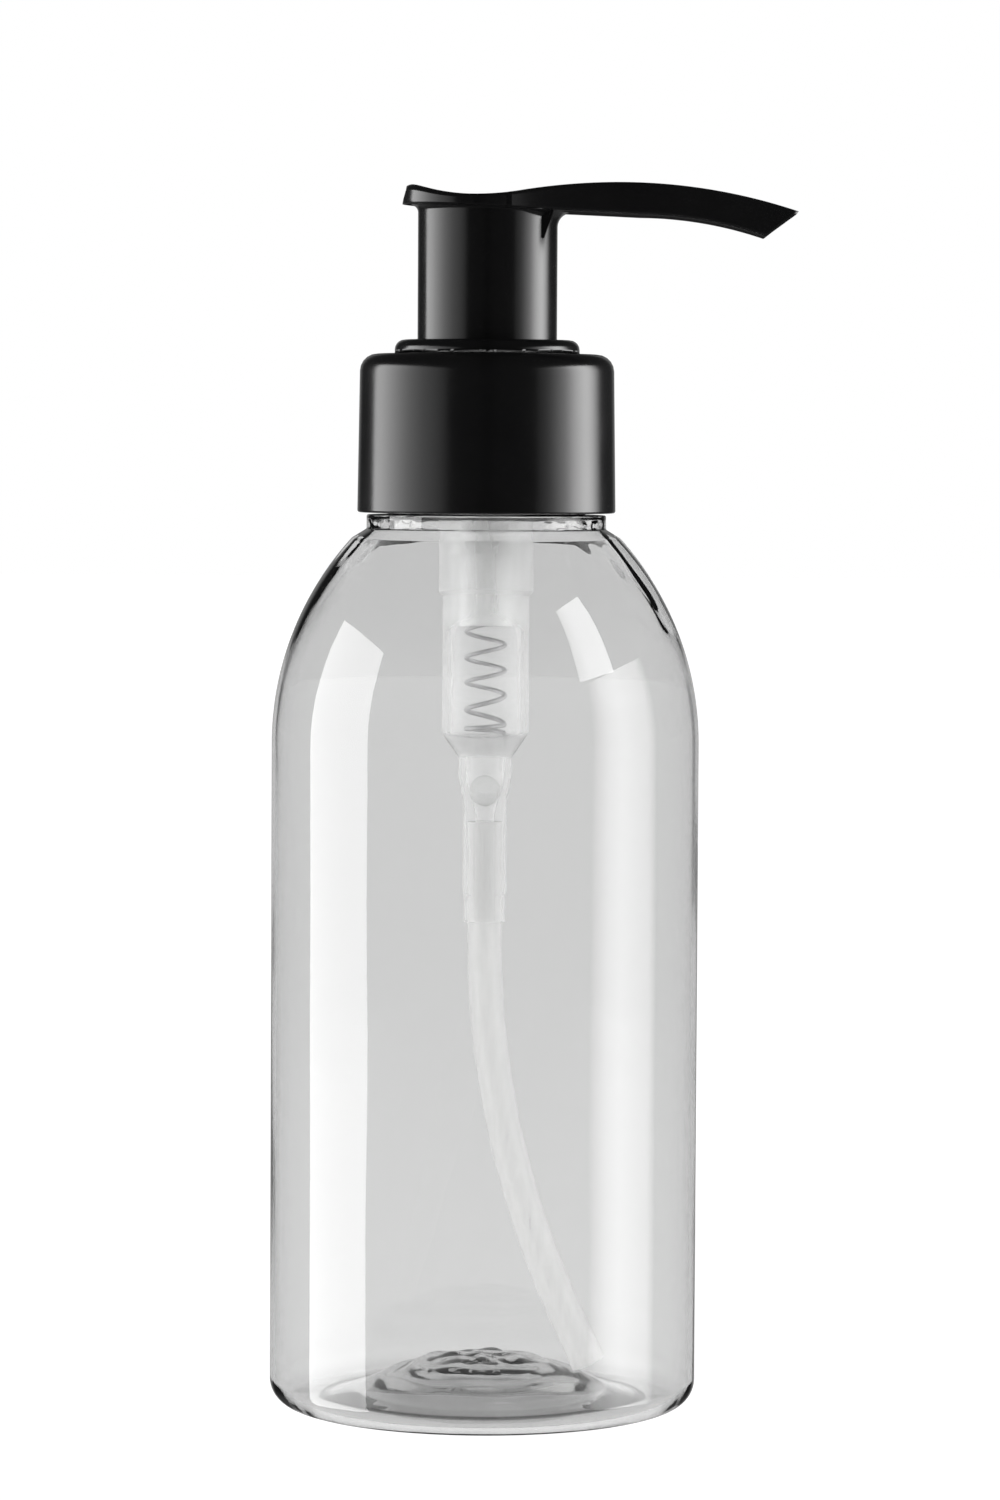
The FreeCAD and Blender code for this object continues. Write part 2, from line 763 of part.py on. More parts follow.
def make_actuator_head():
    """Actuator head: a saddle-shaped finger rest drawn out into a curved spout, on a round skirt."""
    body = new_body("actuator_head")
    profile = new_sketch(body, "head_profile", "XZ_Plane")
    draw(profile, [
        (-D.head_tail, D.head_tail_bottom),
        (-D.nose_left, D.nose_start),
        (-D.nose_end, D.nose_end_height),
        (-D.saddle_offset, D.saddle_height),
        (D.saddle_end, D.saddle_end_height),
        (D.tip_top, D.tip_top_height),
        (D.tip_bottom, D.tip_bottom_height),
        (D.beak_start, D.beak_start_height),
    ], {
        1: (D.nose_radius, RIGHT),
        2: (D.saddle_back_radius, LEFT),
        3: (D.saddle_front_radius, LEFT),
        4: (D.crest_radius, RIGHT),
        6: (D.beak_radius, LEFT),
    })
    slab(body, "head_blade", profile, (D.plan_radius + D.trim_margin) * 2)
    trim_head_plan(body)
    round_head_edges(body)
    add_head_skirt(body)
    cut_head_channel(body)
    return body


def trim_head_plan(body):
    """Cuts the blade to its outline seen from above: a round tail that narrows into the spout."""
    outline = new_sketch(body, "head_plan", "XY_Plane")
    tail = D.plan_centre + D.plan_radius
    draw(outline, [
        (-tail, 0),
        (D.plan_turn_x, -D.plan_turn_y),
        (D.flank_end_x, -D.flank_end_y),
        (D.plan_end_x, -D.plan_end_y),
        (D.plan_end_x, D.plan_end_y),
        (D.flank_end_x, D.flank_end_y),
        (D.plan_turn_x, D.plan_turn_y),
    ], {
        0: (D.plan_radius, LEFT),
        1: (D.flank_radius, RIGHT),
        5: (D.flank_radius, RIGHT),
        6: (D.plan_radius, LEFT),
    })
    back = -(tail + D.trim_margin)
    ahead = D.plan_end_x + D.trim_margin
    wide = D.plan_radius + D.trim_margin * 2
    draw_frame(outline, back, ahead, wide)
    slab(body, "head_plan_cut", outline, (D.nose_end_height + D.trim_margin) * 2, "PartDesign::Pocket")


def draw_frame(sketch, back, ahead, wide):
    """Adds a rectangle round an outline, so that the sketch is what lies between the two."""
    first = sketch.GeometryCount
    corners = [(back, -wide), (ahead, -wide), (ahead, wide), (back, wide)]
    points = [FreeCAD.Vector(across.number, up.number, 0) for across, up in corners]
    for number in range(4):
        sketch.addGeometry(Part.LineSegment(points[number], points[(number + 1) % 4]))
    for number, corner in enumerate(corners):
        after = first + (number + 1) % 4
        sketch.addConstraint(Sketcher.Constraint("Coincident", first + number, 2, after, 1))
        pin_point(sketch, first + number, 1, *corner)


def lean(face, point):
    """How far a face's normal leans towards +Z at a point, from -1 to 1."""
    return face.normalAt(*face.Surface.parameter(point)).z


def round_head_edges(body):
    """Rounds the edges where the top of the head meets its upright sides."""
    DOC.recompute()
    blade = body.Tip
    names = []
    for number, edge in enumerate(blade.Shape.Edges, start=1):
        middle = edge.valueAt((edge.FirstParameter + edge.LastParameter) / 2)
        leans = [lean(face, middle) for face in blade.Shape.ancestorsOfType(edge, Part.Face)]
        if max(leans) > 0.5 and min(abs(one) for one in leans) < 0.1:
            names.append(f"Edge{number}")
    rounding = body.newObject("PartDesign::Fillet", "head_edges")
    rounding.Base = (blade, names)
    bind(rounding, "Radius", D.head_edge_radius)


def add_head_skirt(body):
    """Adds the skirt, the boss that takes the stem and two gussets under the spout."""
    inner = D.skirt_radius - D.skirt_wall
    turned(body, "skirt", [
        (inner, D.skirt_bottom),
        (D.skirt_radius, D.skirt_bottom),
        (D.skirt_radius, D.skirt_top),
        (0, D.skirt_top),
        (0, D.ceiling),
        (inner, D.ceiling),
    ])
    turned(body, "boss", [
        (D.stem_radius, D.boss_bottom),
        (D.boss_radius, D.boss_bottom),
        (D.boss_radius, D.ceiling),
        (0, D.ceiling),
        (0, D.stem_top),
        (D.stem_radius, D.stem_top),
    ])
    for side, name in ((1, "gusset_front"), (-1, "gusset_back")):
        web = new_sketch(body, name + "_outline", "XZ_Plane", D.gusset_offset * side)
        draw(web, [
            (D.gusset_root, D.gusset_bottom),
            (D.gusset_foot, D.gusset_bottom),
            (D.gusset_reach, D.gusset_top),
            (D.gusset_root, D.gusset_top),
        ])
        slab(body, name, web, D.gusset_thickness)


def cut_head_channel(body):
    """Cuts the channel from the stem's bore through the spout to the slanted tip."""
    turned(body, "boss_cavity", [
        (0, D.stem_top),
        (D.stem_bore, D.stem_top),
        (D.stem_bore, D.boss_cavity_top),
        (0, D.boss_cavity_top),
    ], kind="PartDesign::Groove")
    path = new_sketch(body, "channel_path", "XZ_Plane")
    draw(path, [
        (D.channel_start_x, D.channel_start_height),
        (D.channel_end_x, D.channel_end_height),
    ], {0: (D.channel_arc_radius, RIGHT)}, closed=False)
    section = new_sketch(body, "channel_section", "YZ_Plane", D.channel_start_x)
    draw_circle(section, 0, D.channel_start_height, D.channel_radius)
    channel = body.newObject("PartDesign::SubtractivePipe", "channel")
    channel.Profile = section
    channel.Spine = path


PIECES = [
    make_bottle(),
    make_closure(),
    make_gasket(),
    make_housing(),
    make_dip_tube(),
    make_inlet_ball(),
    make_spring(),
    make_piston_seat(),
    make_piston(),
    make_stem(),
    make_lock_ring(),
    make_actuator_head(),
]

DOC.recompute()
for thing in DOC.Objects:
    if "Invalid" in thing.State or "Error" in thing.State:
        raise RuntimeError(f"{thing.Label} failed: {thing.State}")
for piece in PIECES:
    if piece.Shape.isNull() or not piece.Shape.isValid() or len(piece.Shape.Solids) != 1:
        raise RuntimeError(f"{piece.Label} is not one valid solid")

os.makedirs("parts", exist_ok=True)
for piece in PIECES:
    box = piece.Shape.BoundBox
    print(f"{piece.Label}: {piece.Shape.Volume:.1f} mm3, z {box.ZMin:.2f} to {box.ZMax:.2f}")
    piece.Shape.exportStep(f"parts/{piece.Label}.step")
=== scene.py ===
import math

import bpy
import numpy as np
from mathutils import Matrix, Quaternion, Vector


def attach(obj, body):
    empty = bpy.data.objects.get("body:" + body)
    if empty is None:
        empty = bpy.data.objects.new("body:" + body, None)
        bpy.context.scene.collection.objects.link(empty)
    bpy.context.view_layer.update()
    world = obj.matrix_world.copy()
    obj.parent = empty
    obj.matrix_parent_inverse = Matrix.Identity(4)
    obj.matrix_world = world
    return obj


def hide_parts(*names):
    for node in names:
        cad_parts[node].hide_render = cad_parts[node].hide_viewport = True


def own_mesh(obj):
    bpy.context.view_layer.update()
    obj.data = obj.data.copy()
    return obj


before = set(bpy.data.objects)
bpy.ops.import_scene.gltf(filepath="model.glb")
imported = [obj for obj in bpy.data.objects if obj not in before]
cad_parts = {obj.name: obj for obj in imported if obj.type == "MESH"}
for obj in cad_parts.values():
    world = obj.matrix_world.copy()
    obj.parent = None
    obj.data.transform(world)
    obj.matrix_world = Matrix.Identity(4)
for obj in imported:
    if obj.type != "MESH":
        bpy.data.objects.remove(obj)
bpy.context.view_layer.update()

# Bottle: stretch-blown in clear PET, with a push-up base, a round shoulder and a support ring on its neck.
# The wall is thin and a little wavy, and the base is rippled where the blown end was stretched least.
# Sizes are in millimetres, as radius and height from the plane that the bottle stands on.

MM = 0.001


def arc(centre, radius, start, stop, count):
    """Points of a circle between two angles in degrees, counted from the radius axis towards the height.
    The radius is one number, or one for each point."""
    angle = np.radians(np.linspace(start, stop, count))
    return np.stack([centre[0] + radius * np.cos(angle), centre[1] + radius * np.sin(angle)], axis=1)


def run(start, stop, count):
    """Evenly spaced points of a straight side, without its two ends."""
    share = np.linspace(0, 1, count + 2)[1:-1, None]
    return np.array(start) * (1 - share) + np.array(stop) * share


def eased(before, corner, after, radius, steps=5):
    """An arc of the given radius, tangent to both sides of a corner, with one point on each side just off
    its end. Its centre lies on the corner's bisector, at radius over the sine of half the angle."""
    before, corner, after = (np.array(point, float) for point in (before, corner, after))
    back = (before - corner) / np.linalg.norm(before - corner)
    ahead = (after - corner) / np.linalg.norm(after - corner)
    half = math.acos(np.clip(back @ ahead, -1, 1)) / 2
    middle = (back + ahead) / np.linalg.norm(back + ahead)
    centre = corner + middle * radius / math.sin(half)
    reach = radius / math.tan(half)
    swing = np.linspace(half - math.pi / 2, math.pi / 2 - half, steps + 1)[:, None]
    across = (ahead - back) / np.linalg.norm(ahead - back)
    bend = centre + radius * (np.sin(swing) * across - np.cos(swing) * middle)
    return np.vstack([corner + back * reach * 1.35, bend, corner + ahead * reach * 1.35])


def profile(corners, closed=True):
    """A side view through corners of (radius, height, rounding), each corner eased by its rounding."""
    places = [corner[:2] for corner in corners]
    rows = []
    for number, (across, up, rounding) in enumerate(corners):
        inner = closed or 0 < number < len(corners) - 1
        before = places[number - 1]
        after = places[(number + 1) % len(places)]
        rows.append(eased(before, (across, up), after, rounding) if inner and rounding else [(across, up)])
    return np.vstack(rows)


def turn(rows, columns):
    """A side view carried round the Z axis: gives radius, angle and height as grids, with a row for each
    point of the side view and a column for each angle."""
    angle = np.arange(columns) * 2 * math.pi / columns
    radius, angle = np.meshgrid(rows[:, 0], angle, indexing="ij")
    height = np.repeat(rows[:, 1][:, None], columns, axis=1)
    return radius, angle, height


def round_points(radius, angle, height):
    """Cylinder coordinates as a grid of points: radius times cosine, radius times sine, and height."""
    return np.stack([radius * np.cos(angle), radius * np.sin(angle), height], axis=-1)


def skin(grids):
    """Joins grids of points, each closed round its columns, into points and faces. A grid is (points,
    first end, last end): an end is "pole" where its row is one point, and both are "loop" where the last
    row meets the first."""
    points, faces, count = [], [], 0
    for grid, first, last in grids:
        rows, columns = grid.shape[:2]
        index = count + np.arange(rows * columns).reshape(rows, columns)
        if first == "pole":
            index[0] = index[0, 0]
        if last == "pole":
            index[-1] = index[-1, 0]
        if first == "loop":
            index = np.vstack([index, index[:1]])
        low, high = index[:-1], index[1:]
        quads = np.stack([low, np.roll(low, -1, 1), np.roll(high, -1, 1), high], axis=-1).reshape(-1, 4)
        points.append(grid.reshape(-1, 3))
        faces.extend(quads.tolist())
        count += rows * columns
    faces = [list(dict.fromkeys(face)) for face in faces]
    return np.vstack(points), [face for face in faces if len(face) > 2]


def piece(name, grids, flat=()):
    """A mesh object at the origin from grids in millimetres, without the points that no face uses. flat
    holds extra (points, faces) with sharp edges."""
    points, faces = skin(grids)
    smooth = len(faces)
    for extra_points, extra_faces in flat:
        faces.extend((np.array(face) + len(points)).tolist() for face in extra_faces)
        points = np.vstack([points, extra_points])
    used = np.unique(np.concatenate(faces))
    place = np.zeros(len(points), int)
    place[used] = np.arange(len(used))
    mesh = bpy.data.meshes.new(name)
    mesh.from_pydata((points[used] * MM).tolist(), [], [place[face].tolist() for face in faces])
    mesh.polygons.foreach_set("use_smooth", np.arange(len(faces)) < smooth)
    mesh.validate()
    thing = bpy.data.objects.new(name, mesh)
    bpy.context.scene.collection.objects.link(thing)
    return thing


THREAD_START = 120.6
THREAD_PITCH = 4.233
THREAD_TURNS = 1.5
THREAD_FADE = 0.06
THREAD_DEPTH = 1.15
THREAD_HALF_WIDTH = 1.2
THREAD_FLANK = 0.7


def thread_rise(angle, height, first_turn):
    """How far a screw ridge stands off its wall. The ridge climbs one pitch in a turn, counted from a share
    of a turn. It is a trapezium in section: its height falls off on both flanks with the distance from the
    middle. It fades in and out at its ends."""
    rise = np.zeros_like(height)
    for lap in (0, 1):
        turns = (angle / (2 * math.pi) + first_turn) % 1 + lap
        off = np.abs(height - THREAD_START - THREAD_PITCH * turns)
        ends = np.clip(turns / THREAD_FADE, 0, 1) * np.clip((THREAD_TURNS - turns) / THREAD_FADE, 0, 1)
        rise = np.maximum(rise, np.clip((THREAD_HALF_WIDTH - off) / THREAD_FLANK, 0, 1) * ends)
    return rise * THREAD_DEPTH


WALL, NECK_WALL = 0.7, 1.9
GROWTH_START, GROWTH_STOP = 12, 42


def shoulder_wall(start, stop, count):
    """Thickness of the shoulder's wall between two angles in degrees. It grows from the body's wall to the
    neck's by a smooth step."""
    angle = np.linspace(start, stop, count)
    share = np.clip((angle - GROWTH_START) / (GROWTH_STOP - GROWTH_START), 0, 1)
    return WALL + (NECK_WALL - WALL) * share ** 2 * (3 - 2 * share)


ROUND_STEPS = 240
GATE, GATE_Z = 1.3, 4.2
DOME_CENTRE, DOME_RADIUS = (0, -30.17), 34.77
FOOT, HEEL = 20.5, 3.2
BODY, WALL_TOP = 27.35, 85
SHOULDER_CENTRE, SHOULDER_RADIUS = (-11.85, WALL_TOP), 39.2
RING, RING_LOW, RING_TOP = 15.3, 112.5, 114.3
HOLLOW, HOLLOW_LOW, HOLLOW_TOP = 13.4, 112.45, 113.9
NECK, NECK_LOW, BORE, BORE_LOW, LIP = 12.6, 115, 10.9, 114.5, 130.9
INNER_HEEL_CENTRE, INNER_HEEL = (23.98, 3.5), 2.72
INNER_DOME_CENTRE, INNER_DOME_RADIUS, INNER_DOME_Z = (0, -26.62), 32.92, 6.3

bottle_rows = np.vstack([
    # outside of the base with the dot of the gate, the foot, the heel, the wall and the shoulder
    [(0, GATE_Z), (0.55, GATE_Z)],
    eased((0.5, GATE_Z), (GATE, GATE_Z), (GATE, 4.6), 0.15, 3),
    eased((GATE, GATE_Z), (GATE, 4.58), (2.5, 4.5), 0.1, 3),
    arc(DOME_CENTRE, DOME_RADIUS, 87, 62.9, 22),
    eased((16, 0.7), (FOOT, 0), (23, 0), 1.4, 5),
    arc((BODY - HEEL, HEEL), HEEL, -90, 0, 14),
    run((BODY, HEEL), (BODY, WALL_TOP), 26),
    arc(SHOULDER_CENTRE, SHOULDER_RADIUS, 0, 41, 38),
    # support ring, neck and lip
    eased((17.73, 110.72), (17.18, 111.34), (RING, RING_LOW), 1.2),
    eased((17.18, 111.34), (RING, RING_LOW), (RING, RING_TOP), 0.3),
    eased((RING, RING_LOW), (RING, RING_TOP), (NECK, RING_TOP), 0.2),
    eased((RING, RING_TOP), (NECK, RING_TOP), (NECK, LIP), 0.3),
    run((NECK, 115.2), (NECK, 130), 56),
    eased((NECK, NECK_LOW), (NECK, LIP), (BORE, LIP), 0.3),
    eased((NECK, LIP), (BORE, LIP), (BORE, NECK_LOW), 0.3),
    # bore, hollow behind the ring, and the inside of the shoulder, the wall and the base
    run((BORE, 130), (BORE, NECK_LOW), 5),
    eased((BORE, LIP), (BORE, BORE_LOW), (HOLLOW, HOLLOW_TOP), 0.25),
    eased((BORE, BORE_LOW), (HOLLOW, HOLLOW_TOP), (HOLLOW, HOLLOW_LOW), 0.25),
    run((HOLLOW, 113.5), (HOLLOW, 112.7), 4),
    eased((HOLLOW, HOLLOW_TOP), (HOLLOW, HOLLOW_LOW), (13.78, 112.1), 0.4),
    arc(SHOULDER_CENTRE, SHOULDER_RADIUS - shoulder_wall(46.6, 0, 42), 46.6, 0, 42),
    run((BODY - WALL, WALL_TOP), (26.7, 3.5), 26),
    arc(INNER_HEEL_CENTRE, INNER_HEEL, 0, -90, 14),
    eased((22.5, 0.78), (FOOT, 0.75), (16, 2.15), 1.0, 5),
    arc(INNER_DOME_CENTRE, INNER_DOME_RADIUS, 60.9, 88.5, 30),
    [(0, INNER_DOME_Z)],
])
radius, angle, height = turn(bottle_rows, ROUND_STEPS)
on_neck = (radius > NECK - 0.6) & (radius < NECK + 0.1) & (height > NECK_LOW)
radius += on_neck * thread_rise(angle, height, 0)
lip_row = np.nonzero(bottle_rows[:, 1] > LIP - 0.05)[0][-1]
inside = (np.arange(len(bottle_rows)) > lip_row)[:, None]

# ripples of the base: two sets of waves round the axis that shift with the radius, and rings that wander,
# all of them gone at the centre and at the foot
RIPPLED = 16.2
waves = np.sin(4 * angle + 0.42 * radius + 0.5) + 0.7 * np.sin(7 * angle - 0.63 * radius + 2.1)
ring_waves = np.cos(1.5 * radius + 0.8 * np.sin(3 * angle))
in_base = np.clip(radius / 4, 0, 1) * np.clip((RIPPLED - radius) / 4, 0, 1) * (height < 7)
height += in_base * np.where(inside, 0.13 * waves + 0.15 * ring_waves, 0.06 * waves)

# flow lines: short waves round the axis on the inside, in a patch at each side of the shoulder and in the
# hollow behind the ring, where they are deeper to the sides
RIGHT_BEARING, LEFT_BEARING = 5.95, 3.45
SHOULDER_FLOW, RING_FLOW, RING_SIDE_FLOW = 0.11, 0.03, 0.09
lines = np.sin(19 * angle + 0.1 * height) + 0.8 * np.sin(27 * angle - 0.7)
lines += 0.7 * np.sin(0.9 * height + 9 * angle)
right_patch = np.exp(-((angle - RIGHT_BEARING) / 0.3) ** 2) * np.clip((height - 99) / 6, 0, 1)
left_patch = np.exp(-((angle - LEFT_BEARING) / 0.2) ** 2) * np.clip(height - 107.5, 0, 1)
in_patch = (right_patch + left_patch) * np.clip((111 - height) / 1.5, 0, 1)
at_ring = np.clip((height - 112.3) / 0.4, 0, 1) * np.clip((113.8 - height) / 0.3, 0, 1)
to_side = np.clip((np.abs(np.cos(angle)) - 0.55) / 0.3, 0, 1)
flow_depth = in_patch * SHOULDER_FLOW + at_ring * (RING_FLOW + RING_SIDE_FLOW * to_side)
radius += inside * flow_depth * lines
bottle = piece("clear_bottle", [(round_points(radius, angle, height), "pole", "pole")])

# the PET's faint tint, deepened by painted shade that stands in for the dark room mirrored in the walls
PET_TINT_AND_PAINTED_SHADE = (0.765, 0.766, 0.765, 1)
PET_INDEX = 1.5


def new_material(name):
    """A material with an empty node tree: gives the material, the tree and its output node."""
    material = bpy.data.materials.new(name)
    material.use_nodes = True
    tree = material.node_tree
    tree.nodes.clear()
    output = tree.nodes.new("ShaderNodeOutputMaterial")
    return material, tree, output


def dress(thing, material):
    """Gives an object one material."""
    thing.data.materials.clear()
    thing.data.materials.append(material)


def group_of(name, inputs, outputs):
    """An empty node group with named number inputs, given with their values, and named outputs, given with
    their kinds. Gives the group with its input node and its output node."""
    group = bpy.data.node_groups.new(name, "ShaderNodeTree")
    group.interface.new_socket("Coordinates", in_out="INPUT", socket_type="NodeSocketVector")
    for socket, value in inputs.items():
        entry = group.interface.new_socket(socket, in_out="INPUT", socket_type="NodeSocketFloat")
        entry.default_value = value
    for socket, kind in outputs.items():
        group.interface.new_socket(socket, in_out="OUTPUT", socket_type=kind)
    return group, group.nodes.new("NodeGroupInput"), group.nodes.new("NodeGroupOutput")


def noise(tree, coordinates, scale, detail=2.0, rough=0.5, squeeze=None):
    """A noise texture on coordinates in metres, squeezed along the axes if asked."""
    node = tree.nodes.new("ShaderNodeTexNoise")
    node.inputs["Scale"].default_value = scale
    node.inputs["Detail"].default_value = detail
    node.inputs["Roughness"].default_value = rough
    if squeeze:
        mapping = tree.nodes.new("ShaderNodeMapping")
        mapping.inputs["Scale"].default_value = squeeze
        tree.links.new(coordinates, mapping.inputs["Vector"])
        coordinates = mapping.outputs["Vector"]
    tree.links.new(coordinates, node.inputs["Vector"])
    return node.outputs["Fac"]


def reach(tree, value, low, high):
    """Spreads a texture's middle range over the range from low to high."""
    node = tree.nodes.new("ShaderNodeMapRange")
    node.inputs["From Min"].default_value = 0.3
    node.inputs["From Max"].default_value = 0.7
    node.inputs["To Min"].default_value = low
    node.inputs["To Max"].default_value = high
    tree.links.new(value, node.inputs["Value"])
    return node.outputs["Result"]


def bump(tree, height, strength, distance):
    """A bump from a height, with its strength and depth in metres."""
    node = tree.nodes.new("ShaderNodeBump")
    node.inputs["Strength"].default_value = strength
    node.inputs["Distance"].default_value = distance
    tree.links.new(height, node.inputs["Height"])
    return node.outputs["Normal"]


def combined(tree, operation, first, second, third=None):
    """A math node on sockets or plain numbers, clamped to 0 and 1."""
    node = tree.nodes.new("ShaderNodeMath")
    node.operation = operation
    node.use_clamp = True
    for socket, source in zip(node.inputs, (first, second, third)):
        if isinstance(source, (int, float)):
            socket.default_value = source
        elif source is not None:
            tree.links.new(source, socket)
    return node.outputs["Value"]


def fade_over(tree, value, start, stop, low, high):
    """A smooth change from low to high while a value goes from start to stop."""
    node = tree.nodes.new("ShaderNodeMapRange")
    node.interpolation_type = "SMOOTHSTEP"
    node.inputs["From Min"].default_value = start
    node.inputs["From Max"].default_value = stop
    node.inputs["To Min"].default_value = low
    node.inputs["To Max"].default_value = high
    tree.links.new(value, node.inputs["Value"])
    return node.outputs["Result"]


def band(tree, value, low, high, soft):
    """A mask of 1 while a value lies between two limits, which falls to 0 over a soft edge outside them."""
    rising = fade_over(tree, value, low - soft, low, 0, 1)
    falling = fade_over(tree, value, high + soft, high, 0, 1)
    return combined(tree, "MULTIPLY", rising, falling)


# waves of a blown wall: long swells round the axis and up it, with a few finer flow lines drawn out along Z
blown, blown_in, blown_out = group_of(
    "blown_wall", {}, {"Height": "NodeSocketFloat", "Haze": "NodeSocketFloat"})
swell = noise(blown, blown_in.outputs["Coordinates"], 55, 1.0, squeeze=(1, 1, 0.45))
flow = noise(blown, blown_in.outputs["Coordinates"], 260, 1.0, squeeze=(1, 1, 0.06))
both = blown.nodes.new("ShaderNodeMath")
both.operation = "MULTIPLY_ADD"
both.inputs[1].default_value = 0.12
blown.links.new(flow, both.inputs[0])
blown.links.new(swell, both.inputs[2])
blown.links.new(both.outputs["Value"], blown_out.inputs["Height"])
haze = noise(blown, blown_in.outputs["Coordinates"], 90, 3.0)
blown.links.new(reach(blown, haze, 0.0, 0.03), blown_out.inputs["Haze"])

clear_pet, tree, output = new_material("clear_pet")
shell = tree.nodes.new("ShaderNodeBsdfPrincipled")
shell.inputs["Transmission Weight"].default_value = 1
shell.inputs["IOR"].default_value = PET_INDEX
coordinates = tree.nodes.new("ShaderNodeTexCoord")
wall = tree.nodes.new("ShaderNodeGroup")
wall.node_tree = blown
tree.links.new(coordinates.outputs["Object"], wall.inputs["Coordinates"])
tree.links.new(wall.outputs["Haze"], shell.inputs["Roughness"])
tree.links.new(bump(tree, wall.outputs["Height"], strength=0.25, distance=0.0006), shell.inputs["Normal"])
# painted shade: the foot is darker in a narrow ring, where its wall turns up into the dome: in metres, the
# ring's limits from the axis and from the floor, each with its soft edge
FOOT_PAINTED_SHADE = (0.06, 0.06, 0.06, 1)
FOOT_RING, FOOT_RING_Z = (0.0199, 0.0209, 0.0004), (0.0003, 0.0012, 0.0002)
place = tree.nodes.new("ShaderNodeSeparateXYZ")
tree.links.new(coordinates.outputs["Object"], place.inputs["Vector"])
flat = tree.nodes.new("ShaderNodeVectorMath")
flat.operation = "MULTIPLY"
flat.inputs[1].default_value = (1, 1, 0)
tree.links.new(coordinates.outputs["Object"], flat.inputs[0])
from_axis = tree.nodes.new("ShaderNodeVectorMath")
from_axis.operation = "LENGTH"
tree.links.new(flat.outputs["Vector"], from_axis.inputs[0])
foot = combined(tree, "MULTIPLY", band(tree, from_axis.outputs["Value"], *FOOT_RING),
                band(tree, place.outputs["Z"], *FOOT_RING_Z))
tint = tree.nodes.new("ShaderNodeMix")
tint.data_type = "RGBA"
tint.inputs["A"].default_value = PET_TINT_AND_PAINTED_SHADE
tint.inputs["B"].default_value = FOOT_PAINTED_SHADE
tree.links.new(foot, tint.inputs["Factor"])
tree.links.new(tint.outputs["Result"], shell.inputs["Base Color"])
# light for the pieces inside passes straight through the wall
passing = tree.nodes.new("ShaderNodeBsdfTransparent")
passing.inputs["Color"].default_value = (0.95, 0.95, 0.95, 1)
path = tree.nodes.new("ShaderNodeLightPath")
either = tree.nodes.new("ShaderNodeMixShader")
tree.links.new(path.outputs["Is Shadow Ray"], either.inputs["Fac"])
tree.links.new(shell.outputs["BSDF"], either.inputs[1])
tree.links.new(passing.outputs["BSDF"], either.inputs[2])
tree.links.new(either.outputs["Shader"], output.inputs["Surface"])
dress(bottle, clear_pet)
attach(bottle, "bottle")
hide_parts("bottle")

# Painted shade greys their colour where they are grazed.
# Housing, plunger columns, piston, dip tube and gasket: natural polypropylene and polyethylene, moulded or
# extruded. They are milky where they are thick or grazed by the light, and clearer where they are thin.
# The housing hangs by its flange between the neck and the closure, with the gasket under it.

cloud, cloud_in, cloud_out = group_of(
    "milky_cloud", {"Depth": 0.1}, {"Veil": "NodeSocketFloat", "Height": "NodeSocketFloat"})
streak = noise(cloud, cloud_in.outputs["Coordinates"], 420, 2.0, squeeze=(1, 1, 0.2))
deep = cloud.nodes.new("ShaderNodeMath")
deep.operation = "MULTIPLY"
cloud.links.new(reach(cloud, streak, -1, 1), deep.inputs[0])
cloud.links.new(cloud_in.outputs["Depth"], deep.inputs[1])
cloud.links.new(deep.outputs["Value"], cloud_out.inputs["Veil"])
cloud.links.new(noise(cloud, cloud_in.outputs["Coordinates"], 1900, 2.0), cloud_out.inputs["Height"])

MILKY_INDEX = 1.1
VEIL_UNEVEN = 0.18
# painted shade at the grazed edges: the colour turns grey from this facing on, up to this share
RIM_START, RIM_PAINTED_SHADE = 0.45, 0.2


